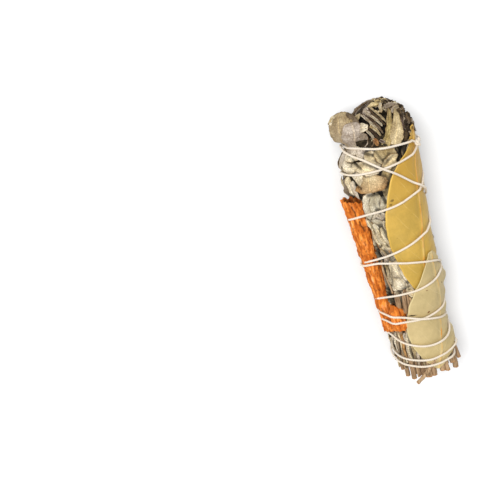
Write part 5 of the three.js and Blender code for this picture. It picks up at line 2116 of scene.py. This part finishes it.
def twine_tree() -> NodeTree:
    """Builds the tree that lays twisted plies along a path.

    Returns:
        The tree.
    """
    kinds = {
        "Twist Radius": ("NodeSocketFloat", 0.0003), "Ply Radius": ("NodeSocketFloat", 0.0003),
        "Pitch": ("NodeSocketFloat", 0.003), "Step": ("NodeSocketFloat", 0.0004),
        "Plies": ("NodeSocketInt", 3), "Material": ("NodeSocketMaterial", None)
    }
    tree = new_tree("twisted twine", kinds)
    given = tree.nodes["Group Input"].outputs
    node = partial(add, tree)
    path = node("GeometryNodeMeshToCurve", given["Geometry"])
    even = node("GeometryNodeResampleCurve", path, mode="LENGTH", Length=given["Step"])
    plies = node("GeometryNodeDuplicateElements", even, domain="SPLINE", Amount=given["Plies"])
    length = node("GeometryNodeSplineParameter", out="Length")
    turns = node(Kind.OVER, length, given["Pitch"])
    start = node(Kind.OVER, plies.node.outputs["Duplicate Index"], given["Plies"])
    total = node(Kind.PLUS, turns, start)
    angle = node(Kind.TIMES, total, 2 * math.pi)
    normal = node("GeometryNodeInputNormal")
    tangent = node("GeometryNodeInputTangent")
    turned = node(
        "ShaderNodeVectorRotate", rotation_type="AXIS_ANGLE", Vector=normal, Axis=tangent, Angle=angle
    )
    offset = node("ShaderNodeVectorMath", turned, operation="SCALE", Scale=given["Twist Radius"])
    moved = node("GeometryNodeSetPosition", Geometry=plies, Offset=offset)
    ring = node("GeometryNodeCurvePrimitiveCircle", Resolution=7, Radius=given["Ply Radius"])
    tube = node("GeometryNodeCurveToMesh", moved, Profile_Curve=ring, Fill_Caps=True)
    finish_tree(tree, tube, given["Material"])
    return tree


def stem_tree() -> NodeTree:
    """Builds the tree that makes a ridged stem along each path, thinner towards its upper end.

    Returns:
        The tree.
    """
    kinds = {
        "Ridge Depth": ("NodeSocketFloat", 0.00018), "Ridge Width": ("NodeSocketFloat", 0.0007),
        "Step": ("NodeSocketFloat", 0.0006), "Sides": ("NodeSocketInt", 16), "Seed": ("NodeSocketFloat", 3.0),
        "Material": ("NodeSocketMaterial", None)
    }
    tree = new_tree("ridged stem", kinds)
    given = tree.nodes["Group Input"].outputs
    node = partial(add, tree)
    path = node("GeometryNodeMeshToCurve", given["Geometry"])
    even = node("GeometryNodeResampleCurve", path, mode="LENGTH", Length=given["Step"])
    length = node("GeometryNodeSplineParameter", out="Length")
    close = node("ShaderNodeMapRange", length, 0.0007, 0.0)
    cut = node(
        "GeometryNodeStoreNamedAttribute", data_type="FLOAT", domain="POINT", Geometry=even, Name="cut",
        Value=close
    )
    thick = node("GeometryNodeInputNamedAttribute", data_type="FLOAT", Name="thick")
    ring = node("GeometryNodeCurvePrimitiveCircle", Resolution=given["Sides"], Radius=1.0)
    tube = node("GeometryNodeCurveToMesh", cut, Profile_Curve=ring, Scale=thick, Fill_Caps=True)
    place = node("GeometryNodeInputPosition")
    long = node("ShaderNodeVectorMath", place, (1.0, 0.12, 1.0), operation="MULTIPLY")
    scale = node(Kind.OVER, 1.0, given["Ridge Width"])
    rough = node(
        "ShaderNodeTexNoise", noise_dimensions="4D", Vector=long, W=given["Seed"], Scale=scale, Detail=2.0,
        out="Fac"
    )
    centred = node(Kind.MINUS, rough, 0.55)
    depth = node(Kind.TIMES, centred, given["Ridge Depth"])
    depth = node(Kind.TIMES, depth, 4.0)
    normal = node("GeometryNodeInputNormal")
    offset = node("ShaderNodeVectorMath", normal, operation="SCALE", Scale=depth)
    moved = node("GeometryNodeSetPosition", Geometry=tube, Offset=offset)
    finish_tree(tree, moved, given["Material"])
    return tree


def crumb_tree() -> NodeTree:
    """Builds the tree that strews small torn bits of leaf over a patch.

    Returns:
        The tree.
    """
    kinds = {
        "Density": ("NodeSocketFloat", 500000.0), "Length": ("NodeSocketFloat", 0.0015),
        "Tilt": ("NodeSocketFloat", 0.9), "Darkest": ("NodeSocketFloat", 0.0),
        "Palest": ("NodeSocketFloat", 1.0), "Seed": ("NodeSocketInt", 1),
        "Material": ("NodeSocketMaterial", None)
    }
    tree = new_tree("leaf crumbs", kinds)
    given = tree.nodes["Group Input"].outputs
    node = partial(add, tree)
    seed, tilt = given["Seed"], given["Tilt"]
    strewn = node(
        "GeometryNodeDistributePointsOnFaces", distribute_method="RANDOM", Mesh=given["Geometry"],
        Density=given["Density"], Seed=seed
    )
    bit = node("GeometryNodeMeshCube", Size=(1.0, 0.6, 0.14), Vertices_X=5, Vertices_Y=4, Vertices_Z=2)
    split = node("ShaderNodeSeparateXYZ", node("GeometryNodeInputPosition"))
    arch = node(Kind.TIMES, node(Kind.TIMES, split, split), -0.9)
    trough = node(Kind.TIMES, node(Kind.TIMES, split.node.outputs[1], split.node.outputs[1]), 1.8)
    height = node("ShaderNodeCombineXYZ", i2=node(Kind.PLUS, arch, trough))
    curled = node("GeometryNodeSetPosition", Geometry=bit, Offset=height)
    least = node("ShaderNodeCombineXYZ", node(Kind.TIMES, tilt, -1.0), tilt)
    most = node("ShaderNodeCombineXYZ", tilt, node(Kind.TIMES, tilt, -1.0), 2 * math.pi)
    angles = node("FunctionNodeRandomValue", least, most, data_type="FLOAT_VECTOR", Seed=seed)
    turn = node("FunctionNodeEulerToRotation", angles)
    turned = node("FunctionNodeRotateRotation", strewn.node.outputs["Rotation"], turn, rotation_space="LOCAL")
    share = node(
        "FunctionNodeRandomValue", data_type="FLOAT", i2=0.5, i3=1.5, Seed=node(Kind.PLUS, seed, 1.0), out=1
    )
    size = node(Kind.TIMES, share, given["Length"])
    placed = node(
        "GeometryNodeInstanceOnPoints", Points=strewn.node.outputs["Points"], Instance=curled,
        Rotation=turned, Scale=size
    )
    shade = node(
        "FunctionNodeRandomValue", data_type="FLOAT", i2=given["Darkest"], i3=given["Palest"],
        Seed=node(Kind.PLUS, seed, 2.0), out=1
    )
    hued = node(
        "GeometryNodeStoreNamedAttribute", data_type="FLOAT", domain="INSTANCE", Geometry=placed, Name="hue",
        Value=shade
    )
    real = node("GeometryNodeRealizeInstances", hued)
    rough = node("ShaderNodeTexNoise", Scale=1 / 0.0009, Detail=1.0, out="Color")
    centred = node("ShaderNodeVectorMath", rough, (0.5, 0.5, 0.5), operation="SUBTRACT")
    offset = node("ShaderNodeVectorMath", centred, operation="SCALE", Scale=0.0009)
    torn = node("GeometryNodeSetPosition", Geometry=real, Offset=offset)
    finish_tree(tree, torn, given["Material"])
    return tree


@dataclass(frozen=True)
class Crumbs:
    """Bits of broken leaf over a patch of a cap, given by two angles of its directions in degrees."""

    name: str
    cap: Cap
    turn: tuple[float, float]
    rise: tuple[float, float]
    lift: float
    density: float
    length: float
    hues: tuple[float, float]
    seed: int

    def build(self, material: Material) -> Object:
        """Makes the bits as one piece.

        Args:
            material: Its finish.

        Returns:
            The piece.
        """
        turn, rise = (np.radians(np.linspace(*span, 12)) for span in (self.turn, self.rise))
        turn, rise = turn[None, :], rise[:, None]
        way = np.stack(
            [np.sin(turn) * np.cos(rise), np.cos(turn) * np.cos(rise), np.sin(rise) + 0 * turn], -1
        )
        points = self.cap.point(way, np.full(way.shape[:2], self.lift)).reshape(-1, 3)
        index = np.arange(144).reshape(12, 12)
        faces = np.stack([index[:-1, :-1], index[1:, :-1], index[1:, 1:], index[:-1, 1:]], -1).reshape(-1, 4)
        piece = make_object(self.name, points, faces, material, {})
        sizes = {
            "Density": self.density / MM**2, "Length": self.length * MM, "Darkest": self.hues[0],
            "Palest": self.hues[1], "Seed": self.seed, "Material": material
        }
        run_tree(piece, crumb_tree(), sizes)
        return piece


@dataclass(frozen=True)
class Stems:
    """The cut stems at the lower end, in rings, and one that leans out on the front left."""

    rings: tuple[tuple[int, float, float], ...] = (
        (1, 0.0, 40.0), (6, 4.4, 32.0), (12, 8.0, 29.0), (22, 11.0, 28.0)
    )
    cut_end: float = 5.4
    radius: float = 1.1
    leaning: tuple[tuple[float, ...], ...] = (
        (4.0, -37.0, 13.0, 15.0, 18.0, 10.9, 0.78), (2.6, 72.0, 11.0, 20.0, 66.0, 10.9, 1.15),
        (6.4, 75.0, 13.0, 20.0, 70.0, 11.0, 0.85)
    )
    inserted: tuple[tuple[float, float, float, float, float], ...] = (
        (44.2, -44.5, 58.0, -55.5, 0.45), (36.5, -42.5, 45.8, -38.5, 1.15), (35.0, -30.5, 45.5, -23.0, 1.0),
        (35.0, -22.5, 44.5, -16.5, 0.6), (60.0, -40.0, 73.0, -57.0, 0.4), (62.0, -29.0, 70.0, -42.0, 0.35)
    )

    def lines(self) -> tuple[list[Array], list[float], list[float]]:
        """Returns the stems' paths, radii and hues.

        Returns:
            The three lists, in the same order.
        """
        draw = np.random.default_rng(19)
        lines, radii, hues = [], [], []
        share = np.linspace(0, 1, 9)
        for number, (count, distance, top) in enumerate(self.rings):
            for i in range(count):
                bearing = 360 * i / count + draw.uniform(-5, 5)
                station = self.cut_end + draw.uniform(-0.4, 2.6) + share * (top - self.cut_end)
                turn = bearing + share * draw.uniform(-6, 6) + 3 * np.sin(share * draw.uniform(2, 5))
                radius = self.radius + draw.uniform(-0.35, 0.25)
                sunk = 0.6 * ease(share * 4) if number == 3 and (bearing > 330 or bearing < 100) else 0.0
                if number == 3 and (bearing > 315 or bearing < 22):
                    sunk = sunk + 0.6
                line = BUNDLE.polar(station, turn, distance + 0.15 * np.sin(7 * share + i) - sunk)
                line[:, 2] = np.maximum(line[:, 2], radius + 0.15)
                lines.append(line)
                radii.append(radius * MM)
                hues.append(draw.uniform(0, 1))
        for low, low_bearing, high, high_bearing, radius in self.inserted:
            bearing = low_bearing + share * (high_bearing - low_bearing) + 0.8 * np.sin(5 * share)
            lines.append(
                BUNDLE.skin(low + share * (high - low), bearing, -0.75 - radius - 1.6 * ease(share * 3 - 2))
            )
            radii.append(radius * MM)
            hues.append(0.5 + 0.5 * math.sin(low_bearing))
        for number, row in enumerate(self.leaning):
            tip, top = np.array(row[:3]), np.array(row[3:6])
            line = tip + share[:, None] * (top - tip)
            lines.append(BUNDLE.polar(line[:, 0], line[:, 1], line[:, 2] + 0.2 * np.sin(3 * share)))
            radii.append(row[6] * MM)
            hues.append(0.1 + 0.4 * number)
        return lines, radii, hues

    def build(self, material: Material) -> Object:
        """Makes the stems.

        Args:
            material: Its finish.

        Returns:
            The piece.
        """
        lines, radii, hues = self.lines()
        piece = path_object("cut_stems", lines, {"thick": radii, "hue": hues})
        run_tree(piece, stem_tree(), {"Material": material})
        return piece


@dataclass(frozen=True)
class Twine:
    """The cotton string and its knot."""

    winding: Winding
    plies: int = 3
    pitch: float = 2.6
    ply_radius: float = 0.25
    twist_radius: float = 0.22

    def knot(self) -> list[Array]:
        """Returns the paths of the knot's loops and its two tails.

        Returns:
            The paths, the loops' first.
        """
        wind = self.winding
        station, bearing = wind.knot_station, wind.knot_bearing
        centre = BUNDLE.skin(station, bearing, 0.65)
        outward = unit(BUNDLE.polar(station, bearing, 1.0) - BUNDLE.polar(station, bearing, 0.0))
        round_way = np.cross([0.0, 1.0, 0.0], outward)
        axes = np.stack([round_way, [0.0, 1.0, 0.0], outward])
        t = np.linspace(0, 2 * np.pi * 0.97, 60)
        reach = 0.66 * (1 + 0.45 * np.cos(3 * t))
        loop = np.stack([reach * np.cos(2 * t), reach * np.sin(2 * t), 0.5 * np.sin(3 * t)], -1)
        share = np.linspace(0, 1, 20)[:, None]
        tails = []
        for end in ((0.7, 1.5, 0.3), (0.8, -1.6, 0.1)):
            bow = np.array([0.3, 0.0, 0.4]) * np.sin(np.pi * share)
            tails.append(share * np.array(end) + bow)
        return [centre + line @ axes for line in (loop, *tails)]

    def build(self, routes: list[Array], material: Material) -> Object:
        """Makes the string and the knot as one piece.

        Args:
            routes: The string's route.
            material: Its finish.

        Returns:
            The piece.
        """
        lines = [self.winding.points(route) for route in routes]
        knot = self.knot()
        lines[0] = np.concatenate([knot[0][-1:], lines[0][1:]])
        lines[1] = np.concatenate([lines[1][:-1], knot[0][:1]])
        piece = path_object("cotton_twine", lines + knot, {})
        sizes = {
            "Twist Radius": self.twist_radius * MM, "Ply Radius": self.ply_radius * MM,
            "Pitch": self.pitch * MM, "Step": 0.42 * MM, "Plies": self.plies, "Material": material
        }
        run_tree(piece, twine_tree(), sizes)
        return piece


# Floor, lights and camera


@dataclass(frozen=True)
class Studio:
    """A plain pale floor, soft light and the photograph's camera, which looks down on the lying stick."""

    elevation: float = 14.7
    roll: float = 16.7
    distance: float = 319.4
    aside: float = 63.57
    above: float = 1.86
    middle: float = 60.0
    lens: float = 60.0

    def axes(self) -> tuple[Array, Array, Array]:
        """Returns the camera's right, up and backward directions.

        Returns:
            Three unit vectors.
        """
        e, r = math.radians(self.elevation), math.radians(self.roll)
        flat, tall = np.array([1.0, 0, 0]), np.array([0, math.cos(e), -math.sin(e)])
        right = math.cos(r) * flat - math.sin(r) * tall
        up = math.sin(r) * flat + math.cos(r) * tall
        return right, up, np.cross(right, up)

    def camera(self) -> None:
        """Places the camera."""
        right, up, back = self.axes()
        aim = np.array([0.0, self.middle, float(BUNDLE.axis_height(np.array(self.middle)))])
        place = aim - self.aside * right + self.above * up + self.distance * back
        data = bpy.data.cameras.new("camera")
        data.lens, data.sensor_width = self.lens, 36.0
        camera = bpy.data.objects.new("camera", data)
        turn = Matrix((right, up, back)).transposed().to_4x4()
        turn.translation = (place + SHIFT) * MM
        camera.matrix_world = turn
        bpy.context.scene.collection.objects.link(camera)
        bpy.context.scene.camera = camera

    def floor(self) -> Object:
        """Lays the floor.

        Returns:
            The floor.
        """
        material = bpy.data.materials.new("matt_white_floor")
        material.use_nodes = True
        shader = material.node_tree.nodes["Principled BSDF"]
        shader.inputs["Base Color"].default_value = rgba("#f4f4f4")
        shader.inputs["Roughness"].default_value = 0.9
        shader.inputs["Specular IOR Level"].default_value = 0.1
        mesh = bpy.data.meshes.new("floor")
        mesh.from_pydata([(-3, -3, 0), (3, -3, 0), (3, 3, 0), (-3, 3, 0)], [], [(0, 1, 2, 3)])
        mesh.materials.append(material)
        floor = bpy.data.objects.new("floor", mesh)
        bpy.context.scene.collection.objects.link(floor)
        return floor

    def light(self, name: str, place: tuple[float, float, float], size: float, power: float) -> None:
        """Hangs a square soft light that faces the stick.

        Args:
            name: The lamp's name.
            place: Where it hangs, in metres.
            size: Its side in metres.
            power: Its power in watts.
        """
        data = bpy.data.lights.new(name, "AREA")
        data.size, data.energy = size, power
        lamp = bpy.data.objects.new(name, data)
        back = unit(np.array(place))
        side = unit(np.cross([0.0, 1.0, 0.0], back))
        turn = Matrix((side, np.cross(back, side), back)).transposed().to_4x4()
        turn.translation = place
        lamp.matrix_world = turn
        bpy.context.scene.collection.objects.link(lamp)

    def build(self) -> None:
        """Sets the scene round the stick."""
        self.floor()
        self.camera()
        self.light("key", (-0.36, 0.3, 0.86), 0.55, 8.6)
        self.light("fill", (0.35, 0.1, 1.0), 1.0, 2.6)
        world = bpy.data.worlds.new("studio")
        world.use_nodes = True
        world.node_tree.nodes["Background"].inputs[0].default_value = (1, 1, 1, 1)
        world.node_tree.nodes["Background"].inputs[1].default_value = 0.5
        bpy.context.scene.world = world
        bpy.context.scene.view_settings.view_transform = "Standard"


def report(piece: Object) -> None:
    """Logs a piece's name and its number of triangles."""
    piece.data.calc_loop_triangles()
    LOG.info("%s: %d triangles", piece.name, len(piece.data.loop_triangles))


def hand_over(piece: Object, slot: str, *nodes: str) -> None:
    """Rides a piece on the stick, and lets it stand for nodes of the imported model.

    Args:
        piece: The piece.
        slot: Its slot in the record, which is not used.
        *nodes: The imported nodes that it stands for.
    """
    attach(piece, "root")
    if nodes:
        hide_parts(*nodes)
    report(piece)


def main() -> None:
    """Builds the stick piece by piece."""
    ochre_marks = (
        (-12.6, 82.4, 0.9, 0.5, "#7d6228"), (-13.2, 81.0, 0.7, 0.4, "#7d6228"),
        (0.6, 76.6, 0.3, 0.3, "#5f471c")
    )
    ochre_outline = (
        (38, 0.8), (40, 1.9), (44, 4.6), (50, 8.3), (58, 12.1), (66, 14.7), (74, 15.6), (82, 14.8),
        (88.8, 13.1), (93.8, 10.9), (96, 9.4), (97.5, 7.9), (99.4, 5.8), (101.1, 3.8), (103.5, 2.8),
        (106.8, 2.2)
    )
    green_outline = (
        (8.5, 1.2), (10, 2.9), (12, 5.6), (15, 9.0), (19, 12.4), (24, 15.0), (30, 16.0), (35, 15.1),
        (40, 13.1), (45, 10.0), (50, 6.4), (54, 3.6), (57.5, 2.0)
    )
    green_marks = (
        (-6.6, 33.6, 0.6, 0.4, "#7a4a20"), (-6.2, 42.9, 0.35, 0.3, "#6f4a24"),
        # The near-black mark at -13.2, 34.0 is a slit in the blade, painted as the shade seen through it.
        (3.0, 42.5, 0.4, 0.35, "#4f3a1e"), (-13.2, 34.0, 2.0, 0.35, "#2c2114"),
        (0.1, 22.4, 0.35, 2.2, "#d58a2e"), (-4.0, 44.6, 0.8, 0.25, "#6b4526")
    )
    upper = BayLeaf(
        "bay_leaf_ochre", DriedBay("dried_bay_ochre", 0.5, tip_from=70.0, marks=ochre_marks),
        (38, 53, 62, 78, 92, 99, 103, 106.8), (14, 24, 29.5, 38.5, 45, 55, 58.5, 61), ochre_outline, sunk=0.75
    )
    lower = BayLeaf(
        "bay_leaf_green",
        DriedBay(
            "dried_bay_green", 0.55, "#c4ae7c", "#97885a", "#d8c692", "#d0a65c", "#d2bf8e", rib_width=0.16,
            marks=green_marks
        ),
        (8.5, 15, 24.5, 33, 44, 57.5),
        (7, 22, 34, 41, 42, 38),
        green_outline,
        lap_from=30.0,
        lap=0.95,
        flares=((43, 1.5, 3.5), (16.5, 1.9, 4.0)),
        ruffle=0.28,
        seed=9,
    )
    cracks = (0.9, -20, 0.97, -24), (0.785, 8, 0.86, -12), (0.52, 20, 0.58, 8)
    long_quill = Quill("long_bark", (-10.9, 25.8, 0.2), (-14.0, 84, 2.8), (3.1, 4.7), 170, 372, cracks)
    short_quill = Quill(
        "short_bark", (-8.5, 28.0, 7.7), (-8.7, 37.9, 7.7), (3.3, 3.2), 170, 365, seed=23, torn=0.15,
        hood=0.4, lip=(1.2, 290.0)
    )
    wrap = SageWrap()
    wrap.scatter()
    wrap.place()
    contents = Contents(wrap.layers, wrap.bed(), (upper, lower), (long_quill, short_quill))
    winding = Winding()
    routes = winding.routes(contents)
    sage = DriedSage("dried_sage_felt", 0.95).material()
    inner = ShadedInnerSage("packed_sage_painted_shade", 1.0).material()
    bark = CinnamonBark("cassia_bark", 0.85).material()
    binding = Binding(routes, contents)
    piles = wrap.build(binding, sage)
    hand_over(piles[0], "sage", "sage_bunch")
    for pile in piles[1:]:
        hand_over(pile, "sage")
    hand_over(wrap.core(inner), "sage")
    head = SageHead(binding)
    for pile in head.build(sage):
        hand_over(pile, "sage")
    hand_over(head.core(inner), "sage")
    crumbled = CrumbledSage("crumbled_sage", 0.95).material()
    for crumbs in (
        Crumbs("crumbs_crown", DOME, (-4, 42), (-30, 46), 0.0, 0.5, 1.5, (0.0, 0.75), 5),
        Crumbs("crumbs_front", DOME, (-80, -20), (50, 84), 0.3, 0.25, 1.8, (0.0, 1.0), 8),
        # The side crumbs take only the darker colours, as painted shade on the side away from the light.
        Crumbs("crumbs_side", DOME, (38, 100), (-8, 60), -0.5, 0.4, 2.2, (0.0, 0.42), 11),
        Crumbs("crumbs_fold", FOLD, (-58, -34), (-14, 14), 1.2, 2.6, 1.0, (0.45, 1.0), 14),
    ):
        hand_over(crumbs.build(crumbled), "sage")
    hand_over(upper.build(routes), "bay_upper", "bay_leaf_upper")
    hand_over(lower.build(routes), "bay_lower", "bay_leaf_lower")
    hand_over(long_quill.build(bark), "cinnamon", "cinnamon_quill_long")
    hand_over(short_quill.build(bark), "cinnamon", "cinnamon_quill_short")
    stems = [f"cut_stem_{i:02d}" for i in range(1, 21)]
    hand_over(Stems().build(DryStem("cut_sage_stem", 0.9).material()), "stem", *stems)
    hand_over(
        Twine(winding).build(routes, CottonTwine("cotton_twine", 0.95).material()), "string", "cotton_string"
    )
    Studio().build()


if __name__ == "__main__":
    logging.basicConfig(level=logging.INFO, format="%(name)s: %(message)s")
    main()
